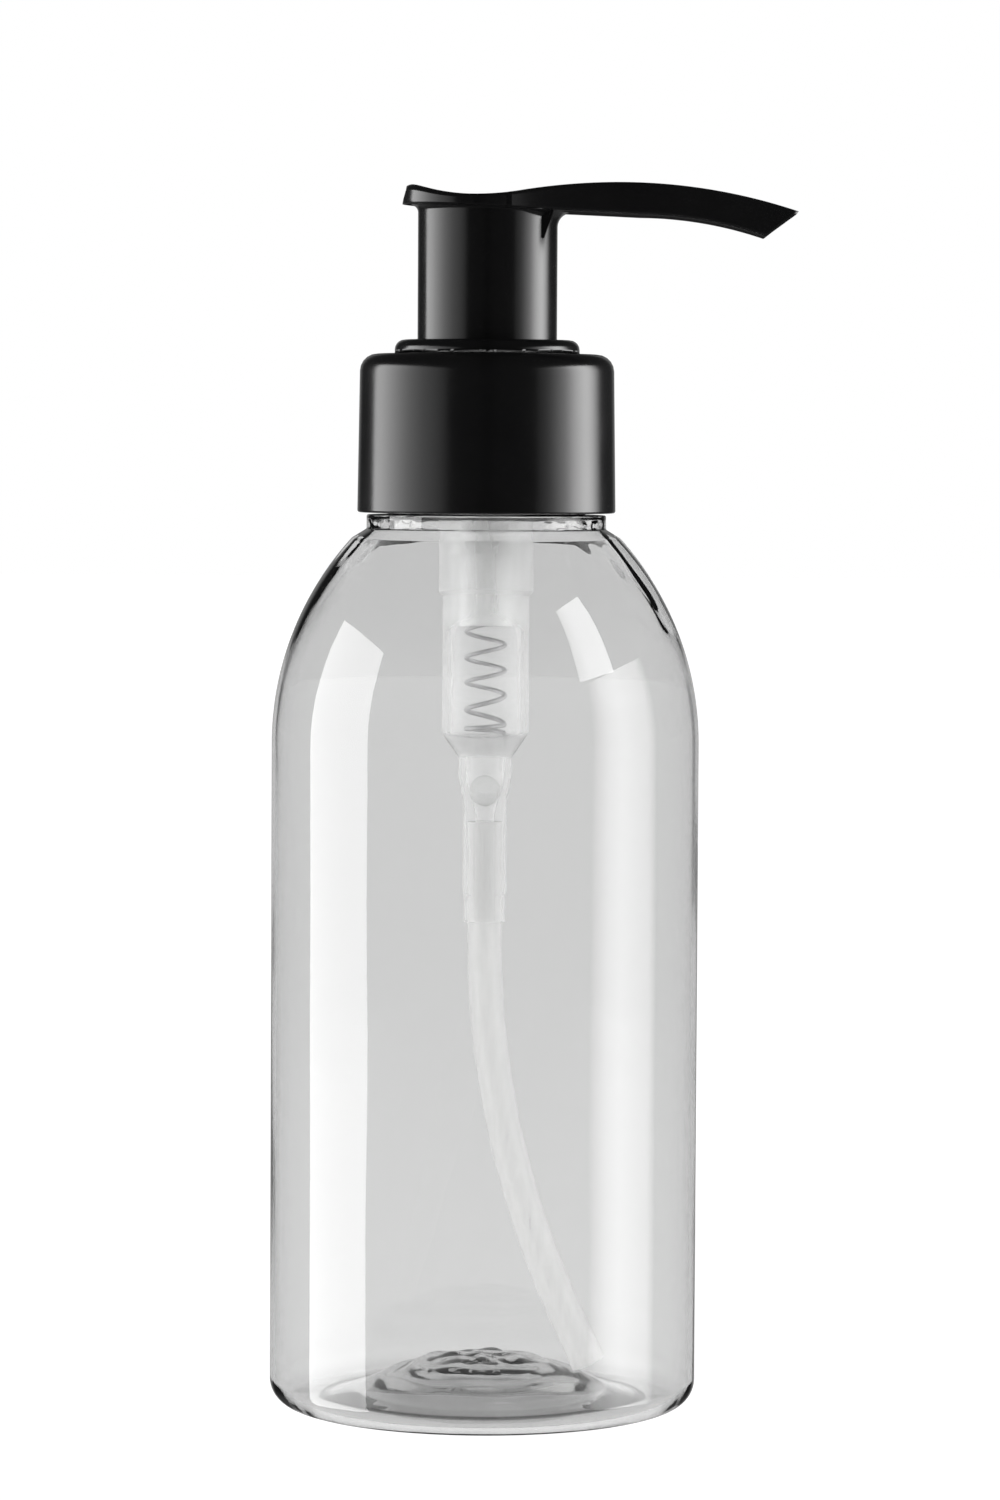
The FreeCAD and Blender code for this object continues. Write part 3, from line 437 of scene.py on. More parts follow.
def milky(name, color, painted_shade_color, veil, edge, gloss, through, bands=()):
    """Translucent plastic: its opacity is a veil that grows towards the edges, where the wall is seen along
    its length, and it is a little uneven. Its colour turns towards a grey of painted shade where it is
    grazed. A band of heights in metres, with a soft edge, adds to the veil and to the painted shade, all
    over or only at the edges: (low, high, soft, veil, painted shade, only at the edges)."""
    material, tree, output = new_material(name)
    shell = tree.nodes.new("ShaderNodeBsdfPrincipled")
    shell.inputs["Roughness"].default_value = gloss
    shell.inputs["Transmission Weight"].default_value = through
    shell.inputs["IOR"].default_value = MILKY_INDEX
    coordinates = tree.nodes.new("ShaderNodeTexCoord")
    place = tree.nodes.new("ShaderNodeSeparateXYZ")
    tree.links.new(coordinates.outputs["Object"], place.inputs["Vector"])
    body = tree.nodes.new("ShaderNodeGroup")
    body.node_tree = cloud
    body.inputs["Depth"].default_value = veil * VEIL_UNEVEN
    tree.links.new(coordinates.outputs["Object"], body.inputs["Coordinates"])
    facing = tree.nodes.new("ShaderNodeLayerWeight")
    facing.inputs["Blend"].default_value = 0.35
    grown = tree.nodes.new("ShaderNodeMapRange")
    grown.inputs["To Min"].default_value = veil
    grown.inputs["To Max"].default_value = edge
    tree.links.new(facing.outputs["Facing"], grown.inputs["Value"])
    rim = tree.nodes.new("ShaderNodeMapRange")
    rim.inputs["From Min"].default_value = RIM_START
    tree.links.new(facing.outputs["Facing"], rim.inputs["Value"])
    opacity = combined(tree, "ADD", grown.outputs["Result"], body.outputs["Veil"])
    # painted shade: the colour greys towards the grazed edges
    shade = combined(tree, "MULTIPLY", rim.outputs["Result"], RIM_PAINTED_SHADE)
    for low, high, soft, more_veil, more_painted_shade, at_rim in bands:
        mask = band(tree, place.outputs["Z"], low, high, soft)
        if at_rim:
            mask = combined(tree, "MULTIPLY", mask, rim.outputs["Result"])
        opacity = combined(tree, "MULTIPLY_ADD", mask, more_veil, opacity)
        shade = combined(tree, "MULTIPLY_ADD", mask, more_painted_shade, shade)
    tint = tree.nodes.new("ShaderNodeMix")
    tint.data_type = "RGBA"
    tint.inputs["A"].default_value = color
    tint.inputs["B"].default_value = painted_shade_color
    tree.links.new(shade, tint.inputs["Factor"])
    tree.links.new(tint.outputs["Result"], shell.inputs["Base Color"])
    tree.links.new(opacity, shell.inputs["Alpha"])
    tree.links.new(bump(tree, body.outputs["Height"], strength=0.1, distance=0.0001), shell.inputs["Normal"])
    tree.links.new(shell.outputs["BSDF"], output.inputs["Surface"])
    return material


# the housing is hazy where the plunger's column stands inside it, and painted shade greys it round the
# valve: over the valve seat, and at the valve's grazed edges
HOUSING_BANDS = [
    (0.1030, 0.13, 0.0030, 0.13, 0.0, False),
    (0.0838, 0.0860, 0.0005, 0.14, 0.35, False),
    (0.0752, 0.0860, 0.0005, 0.35, 0.75, True),
]
PAINTED_SHADE_GREY = (0.3, 0.3, 0.3, 1)
natural_plastic = milky("natural_plastic", (0.93, 0.935, 0.93, 1), PAINTED_SHADE_GREY,
                        veil=0.12, edge=0.45, gloss=0.3, through=0.5, bands=HOUSING_BANDS)
column_plastic = milky("column_plastic", (0.97, 0.972, 0.97, 1), PAINTED_SHADE_GREY,
                       veil=0.8, edge=0.95, gloss=0.35, through=0.15)
soft_plastic = milky("soft_plastic", (0.97, 0.97, 0.96, 1), PAINTED_SHADE_GREY,
                     veil=0.3, edge=0.5, gloss=0.4, through=0.8)
dress(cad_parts["housing"], natural_plastic)
for node in ("stem", "piston_seat", "piston"):
    dress(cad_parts[node], column_plastic)
for node in ("dip_tube", "gasket"):
    dress(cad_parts[node], soft_plastic)

# Inlet ball: a ground glass ball that lies loose in the cone below the cylinder and closes the inlet.
# It shows through the housing as a clear bead with a darker edge, which is painted shade in its colour.

# weaker than real glass, so that the middle stays clear behind the two walls in front of it
BEAD_INDEX = 1.2
ball_glass, tree, output = new_material("ball_glass")
bead = tree.nodes.new("ShaderNodeBsdfPrincipled")
bead.inputs["Transmission Weight"].default_value = 1
bead.inputs["IOR"].default_value = BEAD_INDEX
coordinates = tree.nodes.new("ShaderNodeTexCoord")
ground = noise(tree, coordinates.outputs["Object"], 2600, 3.0)
tree.links.new(reach(tree, ground, 0.0, 0.03), bead.inputs["Roughness"])
facing = tree.nodes.new("ShaderNodeLayerWeight")
facing.inputs["Blend"].default_value = 0.25
# painted shade: the colour darkens towards the bead's grazed edge
tint = tree.nodes.new("ShaderNodeMix")
tint.data_type = "RGBA"
tint.inputs["A"].default_value = (0.98, 0.985, 0.98, 1)
tint.inputs["B"].default_value = (0.42, 0.425, 0.42, 1)
tree.links.new(facing.outputs["Facing"], tint.inputs["Factor"])
tree.links.new(tint.outputs["Result"], bead.inputs["Base Color"])
tree.links.new(bead.outputs["BSDF"], output.inputs["Surface"])
dress(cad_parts["inlet_ball"], ball_glass)

# Return spring: one right-handed steel wire with a slow turn at each end, between the cylinder's floor and
# the lower column. It travels with the plunger and is squeezed towards its upper end by the stroke.

SPRING_LOW, SPRING_HIGH = 86.05, 109.35
SPRING_RADIUS, WIRE_RADIUS = 2.45, 0.3
SPRING_TURNS, END_PITCH = 7.5, 1.14


def coil(turns, bottom, top, radius, wire, steps, sides):
    """A round wire on a helix. The centre line's height climbs by the end pitch in the first and last turn
    and evenly between them, and the wire's circle stands square to the line at every step."""
    along = np.linspace(0, turns, steps)
    rise = top - bottom
    climb = np.interp(along, [0, 1, turns - 1, turns], [0, END_PITCH, rise - END_PITCH, rise])
    angle = 2 * math.pi * along
    line = np.stack([radius * np.cos(angle), radius * np.sin(angle), bottom + climb], axis=1)
    ahead = np.gradient(line, axis=0)
    ahead /= np.linalg.norm(ahead, axis=1, keepdims=True)
    outward = np.stack([np.cos(angle), np.sin(angle), np.zeros(steps)], axis=1)
    upward = np.cross(ahead, outward)
    ring = np.arange(sides) * 2 * math.pi / sides
    circle = np.cos(ring)[None, :, None] * outward[:, None] + np.sin(ring)[None, :, None] * upward[:, None]
    tube = line[:, None] + wire * circle
    start = np.repeat(line[:1], sides, axis=0)[None]
    stop = np.repeat(line[-1:], sides, axis=0)[None]
    return np.concatenate([start, tube, stop])


wire = coil(SPRING_TURNS, SPRING_LOW + WIRE_RADIUS, SPRING_HIGH - WIRE_RADIUS, SPRING_RADIUS, WIRE_RADIUS,
            steps=720, sides=20)
spring = piece("return_spring", [(wire, "pole", "pole")])
spring_steel, tree, output = new_material("spring_steel")
steel = tree.nodes.new("ShaderNodeBsdfPrincipled")
steel.inputs["Metallic"].default_value = 1
coordinates = tree.nodes.new("ShaderNodeTexCoord")
drawn = noise(tree, coordinates.outputs["Object"], 2400, 3.0, squeeze=(1, 1, 5))
shade = tree.nodes.new("ShaderNodeMix")
shade.data_type = "RGBA"
shade.inputs["A"].default_value = (0.38, 0.38, 0.385, 1)
shade.inputs["B"].default_value = (0.58, 0.58, 0.585, 1)
tree.links.new(drawn, shade.inputs["Factor"])
tree.links.new(shade.outputs["Result"], steel.inputs["Base Color"])
tree.links.new(reach(tree, drawn, 0.4, 0.55), steel.inputs["Roughness"])
tree.links.new(steel.outputs["BSDF"], output.inputs["Surface"])
dress(spring, spring_steel)
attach(spring, "return_spring")
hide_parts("spring")
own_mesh(spring)

# Closure: moulded in black polypropylene, with a smooth skirt that widens a little downwards and a rounded
# top edge. It screws onto the neck and clamps the housing's flange and the gasket.

CLOSURE_LOW, CLOSURE_ROOF, CLOSURE_TOP = 114.6, 133.5, 134.8
CLOSURE_MOUTH, CLOSURE_BORE, TOP_HOLE = 14.6, 14.05, 10.25

closure_rows = profile([
    (CLOSURE_MOUTH, CLOSURE_LOW, 0.2),
    (16.5, CLOSURE_LOW, 0.3),
    (16.2, CLOSURE_TOP, 2.2),
    (TOP_HOLE, CLOSURE_TOP, 0.15),
    (TOP_HOLE, CLOSURE_ROOF, 0.15),
    (CLOSURE_BORE, CLOSURE_ROOF, 0.3),
    (CLOSURE_BORE, 127.6, 0),
    *((CLOSURE_BORE, level, 0) for level in np.linspace(127.3, 119.2, 40)),
    (CLOSURE_BORE, 116.0, 0.1),
    (CLOSURE_MOUTH, 115.45, 0.1),
])
radius, angle, height = turn(closure_rows, 192)
in_bore = (np.abs(radius - CLOSURE_BORE) < 0.01) & (height < 129)
radius -= in_bore * thread_rise(angle, height, 0.5)
closure = piece("screw_closure", [(round_points(radius, angle, height), "loop", "loop")])

# fine skin of a polished mould: a faint pebble, a slowly uneven gloss and a little grey in the colour
moulded, moulded_in, moulded_out = group_of(
    "moulded_skin", {"Gloss": 0.28, "Spread": 0.04},
    {"Color": "NodeSocketColor", "Roughness": "NodeSocketFloat", "Height": "NodeSocketFloat"})
pebble = noise(moulded, moulded_in.outputs["Coordinates"], 700, 1.0)
patch = noise(moulded, moulded_in.outputs["Coordinates"], 130, 3.0)
uneven = moulded.nodes.new("ShaderNodeMath")
uneven.operation = "MULTIPLY_ADD"
moulded.links.new(reach(moulded, patch, -1, 1), uneven.inputs[0])
moulded.links.new(moulded_in.outputs["Spread"], uneven.inputs[1])
moulded.links.new(moulded_in.outputs["Gloss"], uneven.inputs[2])
tone = moulded.nodes.new("ShaderNodeMix")
tone.data_type = "RGBA"
tone.inputs["A"].default_value = (0.0035, 0.0035, 0.0038, 1)
tone.inputs["B"].default_value = (0.0062, 0.0062, 0.0064, 1)
moulded.links.new(patch, tone.inputs["Factor"])
moulded.links.new(tone.outputs["Result"], moulded_out.inputs["Color"])
moulded.links.new(uneven.outputs["Value"], moulded_out.inputs["Roughness"])
moulded.links.new(pebble, moulded_out.inputs["Height"])


def black_plastic(name, gloss, spread):
    """Black polypropylene with the moulded skin, at a given roughness and unevenness of it."""
    material, tree, output = new_material(name)
    shell = tree.nodes.new("ShaderNodeBsdfPrincipled")
    shell.inputs["IOR"].default_value = 1.5
    coordinates = tree.nodes.new("ShaderNodeTexCoord")
    skin_of_mould = tree.nodes.new("ShaderNodeGroup")
    skin_of_mould.node_tree = moulded
    skin_of_mould.inputs["Gloss"].default_value = gloss
    skin_of_mould.inputs["Spread"].default_value = spread
    tree.links.new(coordinates.outputs["Object"], skin_of_mould.inputs["Coordinates"])
    tree.links.new(skin_of_mould.outputs["Color"], shell.inputs["Base Color"])
    tree.links.new(skin_of_mould.outputs["Roughness"], shell.inputs["Roughness"])
    pebbled = bump(tree, skin_of_mould.outputs["Height"], strength=0.4, distance=0.000008)
    tree.links.new(pebbled, shell.inputs["Normal"])
    tree.links.new(shell.outputs["BSDF"], output.inputs["Surface"])
    return material


dress(closure, black_plastic("closure_black", 0.2, 0.02))
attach(closure, "closure")
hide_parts("closure")

# Lock ring: black polypropylene. Its flange lies on the closure, its sleeve is snapped into the housing's
# cup, and the hub at its bottom guides the stem.

STEM_HOLE, HUB, GUIDE, SLEEVE, SNAP_BEAD, FLANGE = 2.85, 4.2, 9.1, 9.85, 10.1, 11.8
LOCK_LOW, LOCK_FLOOR, HUB_TOP, FLANGE_LOW, FLANGE_TOP = 116.9, 118.0, 122.0, 134.9, 136.6

lock_rows = profile([
    (STEM_HOLE, LOCK_LOW, 0.1),
    (SLEEVE, LOCK_LOW, 0.2),
    (SLEEVE, 127.4, 0.05),
    (SNAP_BEAD, 128.0, 0.05),
    (SLEEVE, 128.6, 0.05),
    (SLEEVE, FLANGE_LOW, 0.1),
    (FLANGE, FLANGE_LOW, 0.15),
    (FLANGE, FLANGE_TOP, 1.25),
    (GUIDE, FLANGE_TOP, 0.2),
    (GUIDE, LOCK_FLOOR, 0.2),
    (HUB, LOCK_FLOOR, 0.2),
    (HUB, HUB_TOP, 0.15),
    (STEM_HOLE, HUB_TOP, 0.1),
])
radius, angle, height = turn(lock_rows, 160)
lock_ring = piece("lock_ring_moulding", [(round_points(radius, angle, height), "loop", "loop")])
dress(lock_ring, black_plastic("lock_ring_black", 0.18, 0.02))
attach(lock_ring, "pump_body")
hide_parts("lock_ring")

# Actuator head: one moulding in black polypropylene. A saddle for the finger runs out into a curved spout
# with a slanted mouth, and a round skirt with a boss for the stem stands under it. Two small webs join the
# skirt to the spout's underside.

TAIL_X, TAIL_CENTRE, TAIL_RADIUS = -10.9, -1.3, 9.6
TAIL_Z, TAIL_EASE = 156.32, 0.14
SADDLE_X, SADDLE_Z = -1.7, 154.87
BACK_HOLLOW, FRONT_HOLLOW, FRONT_SLOPE = 21.3, 33, 0.003
CREST_X, CREST_CENTRE, CREST_RADIUS = 4.1, (17.21, 84.61), 72


def head_top(along):
    """Height of the finger rest on the centre line: a saddle of two hollow arcs, then the spout's crest.
    Towards the tail the hollow arc is held down to a level by a soft minimum."""
    back = np.clip(along, -13, SADDLE_X) - SADDLE_X
    back = SADDLE_Z + BACK_HOLLOW - np.sqrt(BACK_HOLLOW ** 2 - back ** 2)
    back = TAIL_Z - np.logaddexp(0, (TAIL_Z - back) / TAIL_EASE) * TAIL_EASE
    front = np.clip(along, SADDLE_X, CREST_X) - SADDLE_X
    front = SADDLE_Z + FRONT_HOLLOW - np.sqrt(FRONT_HOLLOW ** 2 - front ** 2)
    front += FRONT_SLOPE * (along - SADDLE_X)
    crest = np.clip(along, CREST_X, 45) - CREST_CENTRE[0]
    crest = CREST_CENTRE[1] + np.sqrt(CREST_RADIUS ** 2 - crest ** 2)
    return np.where(along < SADDLE_X, back, np.where(along < CREST_X, front, crest))


UNDER_X, UNDER_Z, UNDER_SLOPE = -10.75, 153.8, 0.0476
BEAK_X, BEAK_CENTRE, BEAK_RADIUS = 19.5, (19.256, 102.36), 50


def head_bottom(along):
    """Height of the underside: straight and falling slightly, then an arc down to the mouth."""
    straight = UNDER_Z - UNDER_SLOPE * (along - UNDER_X)
    beak = np.clip(along, BEAK_X, 40) - BEAK_CENTRE[0]
    beak = BEAK_CENTRE[1] + np.sqrt(BEAK_RADIUS ** 2 - beak ** 2)
    return np.where(along < BEAK_X, straight, beak)


FLANK_X, FLANK_CENTRE, FLANK_RADIUS = 2.76, (19.07, 42.24), 37
TAPER_X, TAPER_WIDTH = 15.5, 5.4
MOUTH_X, MOUTH_WIDTH = 41, 3.3


def head_half_width(along):
    """Half width seen from above: a round tail, a hollow flank and a slow taper to the mouth."""
    tail = np.sqrt(np.clip(TAIL_RADIUS ** 2 - (along - TAIL_CENTRE) ** 2, 0, None))
    flank = np.clip(along, FLANK_X, TAPER_X) - FLANK_CENTRE[0]
    flank = FLANK_CENTRE[1] - np.sqrt(FLANK_RADIUS ** 2 - flank ** 2)
    taper = TAPER_WIDTH - (along - TAPER_X) * (TAPER_WIDTH - MOUTH_WIDTH) / (MOUTH_X - TAPER_X)
    return np.where(along < FLANK_X, tail, np.where(along < TAPER_X, flank, taper))


TIP_LOW, TIP_TOP = np.array([35.26, 0, 149.73]), np.array([39.49, 0, 153.07])
TIP_LEAN = (TIP_TOP - TIP_LOW)[0] / (TIP_TOP - TIP_LOW)[2]
TIP_LEAN_X, TAIL_LEAN_X, TAIL_LEAN = 14, -4, 0.22
TAIL_STATIONS = 12
CORNER_POWER = 0.16


def blade(stations, around):
    """The finger rest and spout as closed sections along X. A section starts at its own place on the
    underside and leans forward towards the mouth, so that the last one is the slanted mouth. Its points go
    round a rectangle with eased corners: the share across is a cosine and the share up a sine, each drawn
    out to a power. The first sections crowd towards the tail by a quarter of a cosine."""
    share = np.linspace(0, 1, stations)
    foot = TAIL_X + (TIP_LOW[0] - TAIL_X) * (share ** 2 * 0.55 + share * 0.45)
    crowded = 1 - np.cos(np.linspace(0, math.pi / 2, TAIL_STATIONS + 1))[:-1]
    foot[:TAIL_STATIONS] = TAIL_X + (foot[TAIL_STATIONS] - TAIL_X) * crowded
    forward = np.clip((foot - TIP_LEAN_X) / (TIP_LOW[0] - TIP_LEAN_X), 0, 1)
    backward = np.clip((TAIL_LEAN_X - foot) / (TAIL_LEAN_X - TAIL_X), 0, 1)
    lean = TIP_LEAN * forward ** 2 + TAIL_LEAN * backward
    low = head_bottom(foot)
    crown = foot.copy()
    for _ in range(30):
        crown = foot + lean * (head_top(crown) - low)
    high = head_top(crown)
    angle = (np.arange(around) + 0.5) * 2 * math.pi / around
    across = np.sign(np.cos(angle)) * np.abs(np.cos(angle)) ** CORNER_POWER
    up = 0.5 + 0.5 * np.sign(np.sin(angle)) * np.abs(np.sin(angle)) ** CORNER_POWER
    along = foot[:, None] + (crown - foot)[:, None] * up
    sideways = head_half_width(along) * across
    # the rim is eased all along: the surface drops by a circle's depth within the rounding of its edge
    rounding = np.interp(along, [-11, -8, 0, 8, 40], [1.15, 0.9, 0.45, 0.4, 0.35])
    inset = np.where(
        along < FLANK_X,
        TAIL_RADIUS - np.hypot(along - TAIL_CENTRE, sideways),
        head_half_width(along) - np.abs(sideways),
    )
    inside = np.clip(rounding - inset, 0, rounding)
    drop = rounding - np.sqrt(np.clip(rounding ** 2 - inside ** 2, 0, None))
    height = low[:, None] + (high - low)[:, None] * up - drop * up ** 4
    return np.stack([along, sideways, height], axis=-1)


HEAD_AROUND = 96
MOUTH_CENTRE, SPOUT_AXIS = np.array([37.45, 0, 151.46]), np.array([0.62, 0, -0.785])
HOLE_RADIUS, CHANNEL = 1.1, 2.4
body = blade(170, HEAD_AROUND)
tail_end = np.repeat(body[0].mean(axis=0, keepdims=True), HEAD_AROUND, axis=0)
# the mouth: from the last section inwards to the round hole, then down the channel to a closed end
mouth = body[-1]
slant = (TIP_TOP - TIP_LOW) / np.linalg.norm(TIP_TOP - TIP_LOW)
spoke = mouth - MOUTH_CENTRE
bearing = np.arctan2(spoke @ slant, spoke[:, 1])[:, None]
hole = MOUTH_CENTRE + HOLE_RADIUS * (np.cos(bearing) * np.array([0, 1, 0]) + np.sin(bearing) * slant)
rim = [mouth + (hole - mouth) * share for share in (0.08, 0.3, 0.6, 0.92)]
bore = [hole - SPOUT_AXIS * depth for depth in (0, 0.12, 1.2, CHANNEL)]
channel_end = np.repeat((MOUTH_CENTRE - SPOUT_AXIS * CHANNEL)[None], HEAD_AROUND, axis=0)
spout = np.concatenate([tail_end[None], body, np.stack(rim), np.stack(bore), channel_end[None]])

SKIRT, SKIRT_INSIDE, SKIRT_LOW, SKIRT_ROOF = 8.9, 7.9, 132.6, 151.9
BOSS, BOSS_BORE, BOSS_LOW, BOSS_ROOF = 4.2, 2.8, 145, 151.2
FLARE_LOW, FLARE_TOP, COVER = 152.3, 153.9, 154.2
skirt_rows = np.vstack([
    [(0, BOSS_ROOF)],
    profile([
        (0.5, BOSS_ROOF, 0),
        (BOSS_BORE, BOSS_ROOF, 0.1),
        (BOSS_BORE, BOSS_LOW, 0.15),
        (BOSS, BOSS_LOW, 0.15),
        (BOSS, SKIRT_ROOF, 0.2),
        (SKIRT_INSIDE, SKIRT_ROOF, 0.3),
        (SKIRT_INSIDE, SKIRT_LOW, 0.15),
        (SKIRT, SKIRT_LOW, 0.2),
        (SKIRT, FLARE_LOW, 0),
    ], closed=False)[:-1],
    run((SKIRT, 133.5), (SKIRT, 152.2), 6),
    [(SKIRT, level) for level in np.linspace(FLARE_LOW, FLARE_TOP, 9)],
    [(6, COVER), (0, COVER)],
])
radius, angle, height = turn(skirt_rows, 160)
# the flare under the head: a quarter circle out of the wall, tallest under the spout, set against the
# sloping underside
flare = np.interp(np.cos(angle), [-1, -0.5, 0, 0.5, 1], [0.95, 0.5, 0.22, 0.4, 1.9])
under = head_bottom(9 * np.cos(angle))
rising = (height > FLARE_LOW - 0.05) & (radius > SKIRT - 0.4)
level = np.clip((height - FLARE_LOW) / (FLARE_TOP - FLARE_LOW), 0, 1)
flare_height = under - flare + (flare + 0.12) * level
climb = np.clip(1 - (under - flare_height) / flare, 0, 1)
flare_radius = SKIRT + flare * (1 - np.sqrt(np.clip(1 - climb ** 2, 0, 1)))
radius = np.where(rising, flare_radius, radius)
height = np.where(rising, flare_height, height)
skirt = round_points(radius, angle, height)


def web(side):
    """A small web between the skirt and the spout's underside: a prism whose lower end is narrow."""
    outline = [(6.4, 149.4), (7.15, 149.4), (8.4, 153.1), (6.4, 153.1)]
    front, back = side * 5.0, side * 5.8
    points = np.array([(x, y, z) for y in (front, back) for x, z in outline], float)
    faces = [(0, 1, 2, 3), (7, 6, 5, 4), (0, 4, 5, 1), (1, 5, 6, 2), (2, 6, 7, 3), (3, 7, 4, 0)]
    return points, faces if side > 0 else [face[::-1] for face in faces]


head = piece("pump_head", [(spout, "pole", "pole"), (skirt, "pole", "pole")], flat=[web(1), web(-1)])
dress(head, black_plastic("head_black", 0.18, 0.02))
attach(head, "plunger")
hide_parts("actuator_head")

# Studio: a white floor and backdrop, a tall softbox on each side of the bottle, a small one high on the
# right, and two more that light the black pieces alone. Light Path shows the background white to the camera
# and through the clear walls without more light on the bottle.

scene = bpy.context.scene
scene.view_settings.view_transform = "Standard"

FLOOR_HALF, FLOOR_Z = 4, -0.0002
floor_corners = [(x * FLOOR_HALF, y * FLOOR_HALF, FLOOR_Z) for x, y in ((-1, -1), (1, -1), (1, 1), (-1, 1))]
floor_mesh = bpy.data.meshes.new("floor")
floor_mesh.from_pydata(floor_corners, [], [(0, 1, 2, 3)])
floor = bpy.data.objects.new("floor", floor_mesh)
scene.collection.objects.link(floor)
floor_white, tree, output = new_material("floor_white")
coordinates = tree.nodes.new("ShaderNodeTexCoord")
distance = tree.nodes.new("ShaderNodeVectorMath")
distance.operation = "LENGTH"
tree.links.new(coordinates.outputs["Object"], distance.inputs[0])
path = tree.nodes.new("ShaderNodeLightPath")


def choose(tree, switch, otherwise, value):
    """One of two values, by a switch of 0 or 1."""
    node = tree.nodes.new("ShaderNodeMix")
    tree.links.new(switch, node.inputs["Factor"])
    for socket, source in (("A", otherwise), ("B", value)):
        if isinstance(source, float):
            node.inputs[socket].default_value = source
        else:
            tree.links.new(source, node.inputs[socket])
    return node.outputs["Result"]


# the floor's white by the distance from the axis, as the camera sees it and as the clear walls show it;
# seen through the clear walls it darkens near the axis, a painted shadow under the bottle
from_eye = fade_over(tree, distance.outputs["Value"], 0.08, 0.3, 0.88, 1.0)
glass_view_painted_shadow = fade_over(tree, distance.outputs["Value"], 0.010, 0.034, 0.38, 1.0)
paper = tree.nodes.new("ShaderNodeBsdfDiffuse")
paper.inputs["Color"].default_value = (0.2, 0.2, 0.2, 1)
glow = tree.nodes.new("ShaderNodeEmission")
glow_strength = choose(tree, path.outputs["Is Transmission Ray"], from_eye, glass_view_painted_shadow)
tree.links.new(glow_strength, glow.inputs["Strength"])
seen = tree.nodes.new("ShaderNodeAddShader")
tree.links.new(paper.outputs["BSDF"], seen.inputs[0])
tree.links.new(glow.outputs["Emission"], seen.inputs[1])
lit = tree.nodes.new("ShaderNodeBsdfDiffuse")
lit.inputs["Color"].default_value = (0.8, 0.8, 0.8, 1)
looked_at = tree.nodes.new("ShaderNodeMath")
looked_at.operation = "MAXIMUM"
tree.links.new(path.outputs["Is Camera Ray"], looked_at.inputs[0])
tree.links.new(path.outputs["Is Transmission Ray"], looked_at.inputs[1])
either = tree.nodes.new("ShaderNodeMixShader")
tree.links.new(looked_at.outputs["Value"], either.inputs["Fac"])
tree.links.new(lit.outputs["BSDF"], either.inputs[1])
tree.links.new(seen.outputs["Shader"], either.inputs[2])
tree.links.new(either.outputs["Shader"], output.inputs["Surface"])
dress(floor, floor_white)
floor.visible_glossy = False
floor.visible_shadow = False

world = bpy.data.worlds.new("studio")
scene.world = world
world.use_nodes = True
tree = world.node_tree
tree.nodes.clear()
background = tree.nodes.new("ShaderNodeBackground")
world_output = tree.nodes.new("ShaderNodeOutputWorld")
tree.links.new(background.outputs["Background"], world_output.inputs["Surface"])
direction = tree.nodes.new("ShaderNodeTexCoord")
parts = tree.nodes.new("ShaderNodeSeparateXYZ")
tree.links.new(direction.outputs["Generated"], parts.inputs["Vector"])
aside = tree.nodes.new("ShaderNodeMath")
aside.operation = "ABSOLUTE"
tree.links.new(parts.outputs["X"], aside.inputs[0])
# what glossy pieces mirror: a pale field behind with a dark stripe in its middle, and a dim floor
backdrop = tree.nodes.new("ShaderNodeMath")
backdrop.operation = "MULTIPLY"
tree.links.new(fade_over(tree, parts.outputs["Y"], 0.9, 0.97, 0.03, 0.3), backdrop.inputs[0])
tree.links.new(fade_over(tree, aside.outputs["Value"], 0.06, 0.12, 0.05, 1.0), backdrop.inputs[1])
mirrored = tree.nodes.new("ShaderNodeMath")
mirrored.operation = "MAXIMUM"
tree.links.new(backdrop.outputs["Value"], mirrored.inputs[0])
tree.links.new(fade_over(tree, parts.outputs["Z"], -0.45, -0.15, 0.12, 0.0), mirrored.inputs[1])
# what clear pieces show: white that dims towards the top
through = fade_over(tree, parts.outputs["Z"], 0.45, 0.85, 1.0, 0.3)
FILL_LIGHT = 0.35
path = tree.nodes.new("ShaderNodeLightPath")
level = choose(tree, path.outputs["Is Glossy Ray"], FILL_LIGHT, mirrored.outputs["Value"])
level = choose(tree, path.outputs["Is Transmission Ray"], level, through)
level = choose(tree, path.outputs["Is Camera Ray"], level, 1.0)
background.inputs["Color"].default_value = (1, 1, 1, 1)
tree.links.new(level, background.inputs["Strength"])

SOFTBOX_DISTANCE = 0.42
black_pieces = (closure, lock_ring, head)


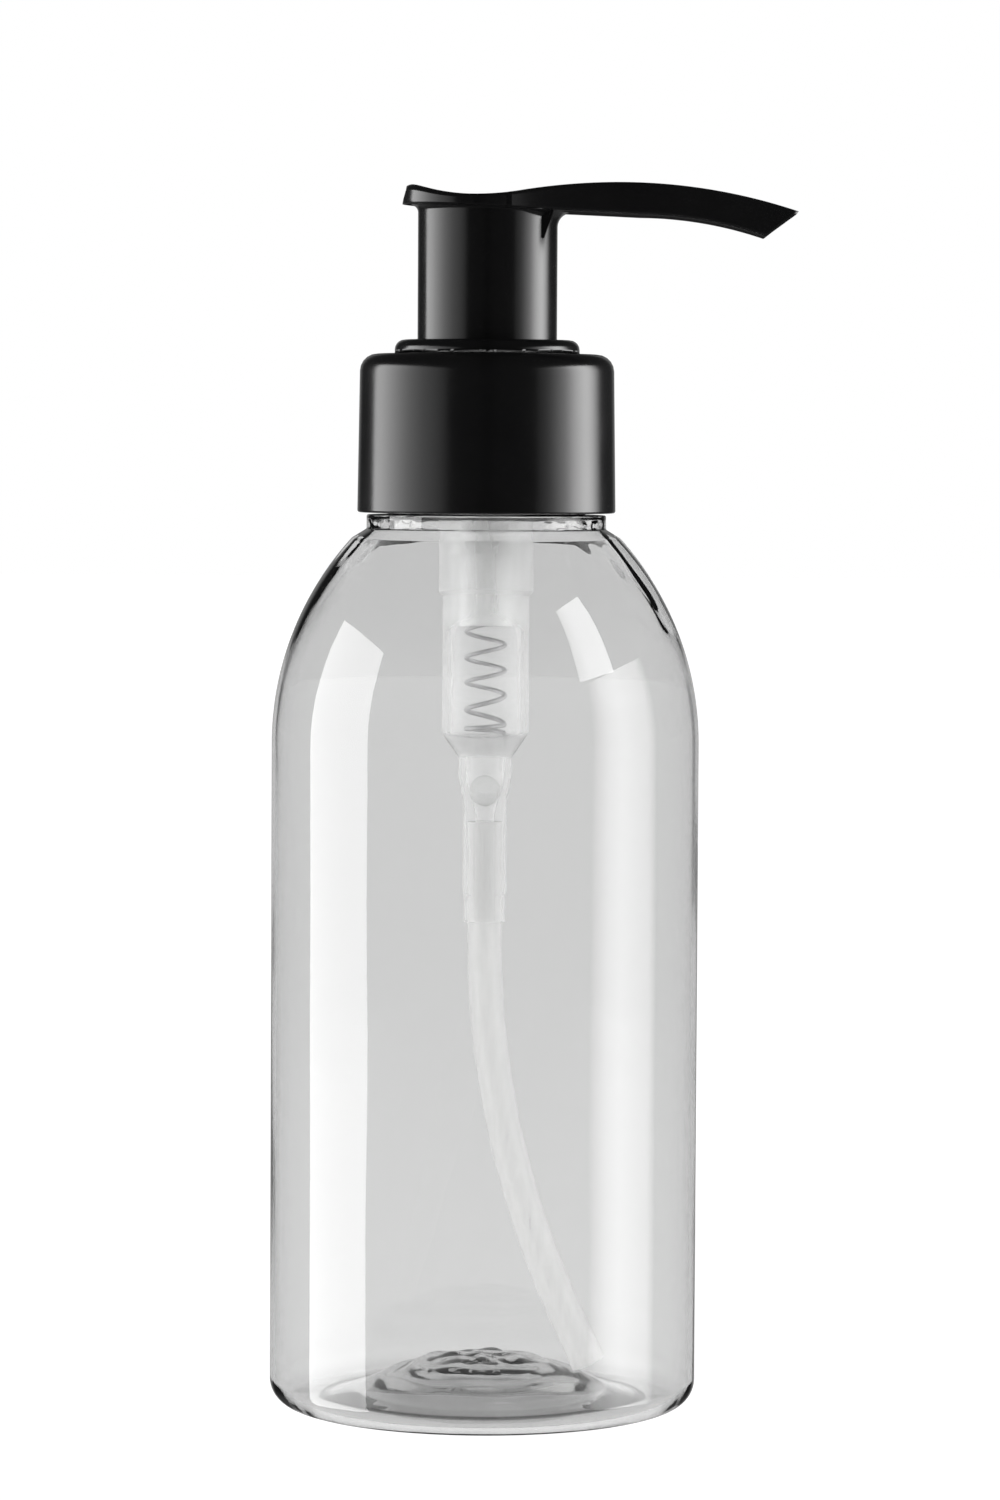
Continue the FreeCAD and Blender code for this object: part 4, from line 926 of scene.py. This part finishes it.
def softbox(name, front, back, low, high, brightness, grading, for_black):
    """A flat lamp that faces the bottle's axis between two bearings in degrees from the camera's side,
    negative on the left. Its face is graded from its front edge to its back edge by pairs of share and
    strength, and it lights either the black pieces alone or all the others."""
    middle, half = math.radians((front + back) / 2), math.radians(abs(back - front) / 2)
    lamp = bpy.data.lights.new(name, "AREA")
    lamp.shape = "RECTANGLE"
    lamp.size = 2 * SOFTBOX_DISTANCE * math.tan(half)
    lamp.size_y = high - low
    # a flat lamp's power is four times its brightness times its area
    lamp.energy = 4 * brightness * lamp.size * lamp.size_y
    lamp.use_nodes = True
    nodes, links = lamp.node_tree.nodes, lamp.node_tree.links
    nodes.clear()
    lamp_output = nodes.new("ShaderNodeOutputLight")
    emission = nodes.new("ShaderNodeEmission")
    face = nodes.new("ShaderNodeNewGeometry")
    across = nodes.new("ShaderNodeSeparateXYZ")
    ramp = nodes.new("ShaderNodeValToRGB")
    stops = ramp.color_ramp.elements
    shares = grading if back > 0 else [(1 - share, strength) for share, strength in reversed(grading)]
    for number, (share, strength) in enumerate(shares):
        stop = stops[number] if number < 2 else stops.new(share)
        stop.position = share
        stop.color = (strength, strength, strength, 1)
    links.new(face.outputs["Parametric"], across.inputs["Vector"])
    links.new(across.outputs["X"], ramp.inputs["Fac"])
    links.new(ramp.outputs["Color"], emission.inputs["Strength"])
    links.new(emission.outputs["Emission"], lamp_output.inputs["Surface"])
    thing = bpy.data.objects.new(name, lamp)
    scene.collection.objects.link(thing)
    out = Vector((math.sin(middle), -math.cos(middle), 0))
    thing.location = out * SOFTBOX_DISTANCE + Vector((0, 0, (low + high) / 2))
    thing.rotation_mode = "QUATERNION"
    thing.rotation_quaternion = (-out).to_track_quat("-Z", "Y")
    thing.visible_camera = False
    thing.visible_transmission = False
    receivers = bpy.data.collections.new(name + "_lights")
    for black in black_pieces:
        receivers.objects.link(black)
    for member in receivers.collection_objects:
        member.light_linking.link_state = "INCLUDE" if for_black else "EXCLUDE"
    thing.light_linking.receiver_collection = receivers


softbox("softbox_left", -63.5, -104.5, -0.2, 0.333, 4.8, [(0, 1), (1, 0.9)], for_black=False)
softbox("softbox_right", 57, 103, -0.12, 0.25, 4.4,
        [(0, 0), (0.08, 0.3), (0.24, 0.8), (0.42, 1), (0.6, 0.8), (0.85, 0.5), (1, 0)], for_black=False)
softbox("softbox_high", 54, 78, 0.25, 0.53, 5.6, [(0, 0.6), (0.3, 1), (1, 1)], for_black=False)
softbox("pump_left", -35, -120.5, 0.0, 0.32, 3.8,
        [(0, 0.06), (0.137, 0.15), (0.31, 0.26), (0.46, 0.47), (0.613, 0.8), (0.754, 1), (1, 0.95)],
        for_black=True)
softbox("pump_right", 46, 122, 0.0, 0.32, 6.6,
        [(0, 0.03), (0.115, 0.05), (0.212, 0.11), (0.335, 0.28), (0.391, 0.36), (0.51, 0.8), (0.63, 1),
         (0.7, 0.95), (0.775, 0.7), (0.9, 0.25), (1, 0)],
        for_black=True)

EYE = Vector((0.0019, -0.70, 0.125))
AIM = Vector((0.0019, 0, 0.0842))
ROLL = 0.3
FRAME_HEIGHT, SENSOR = 0.1923, 36
camera_data = bpy.data.cameras.new("camera")
camera_data.sensor_width = SENSOR
camera_data.lens = SENSOR * (AIM - EYE).length / FRAME_HEIGHT
camera = bpy.data.objects.new("camera", camera_data)
scene.collection.objects.link(camera)
camera.location = EYE
camera.rotation_mode = "QUATERNION"
level_view = (AIM - EYE).to_track_quat("-Z", "Y")
camera.rotation_quaternion = level_view @ Quaternion((0, 0, 1), math.radians(ROLL))
scene.camera = camera
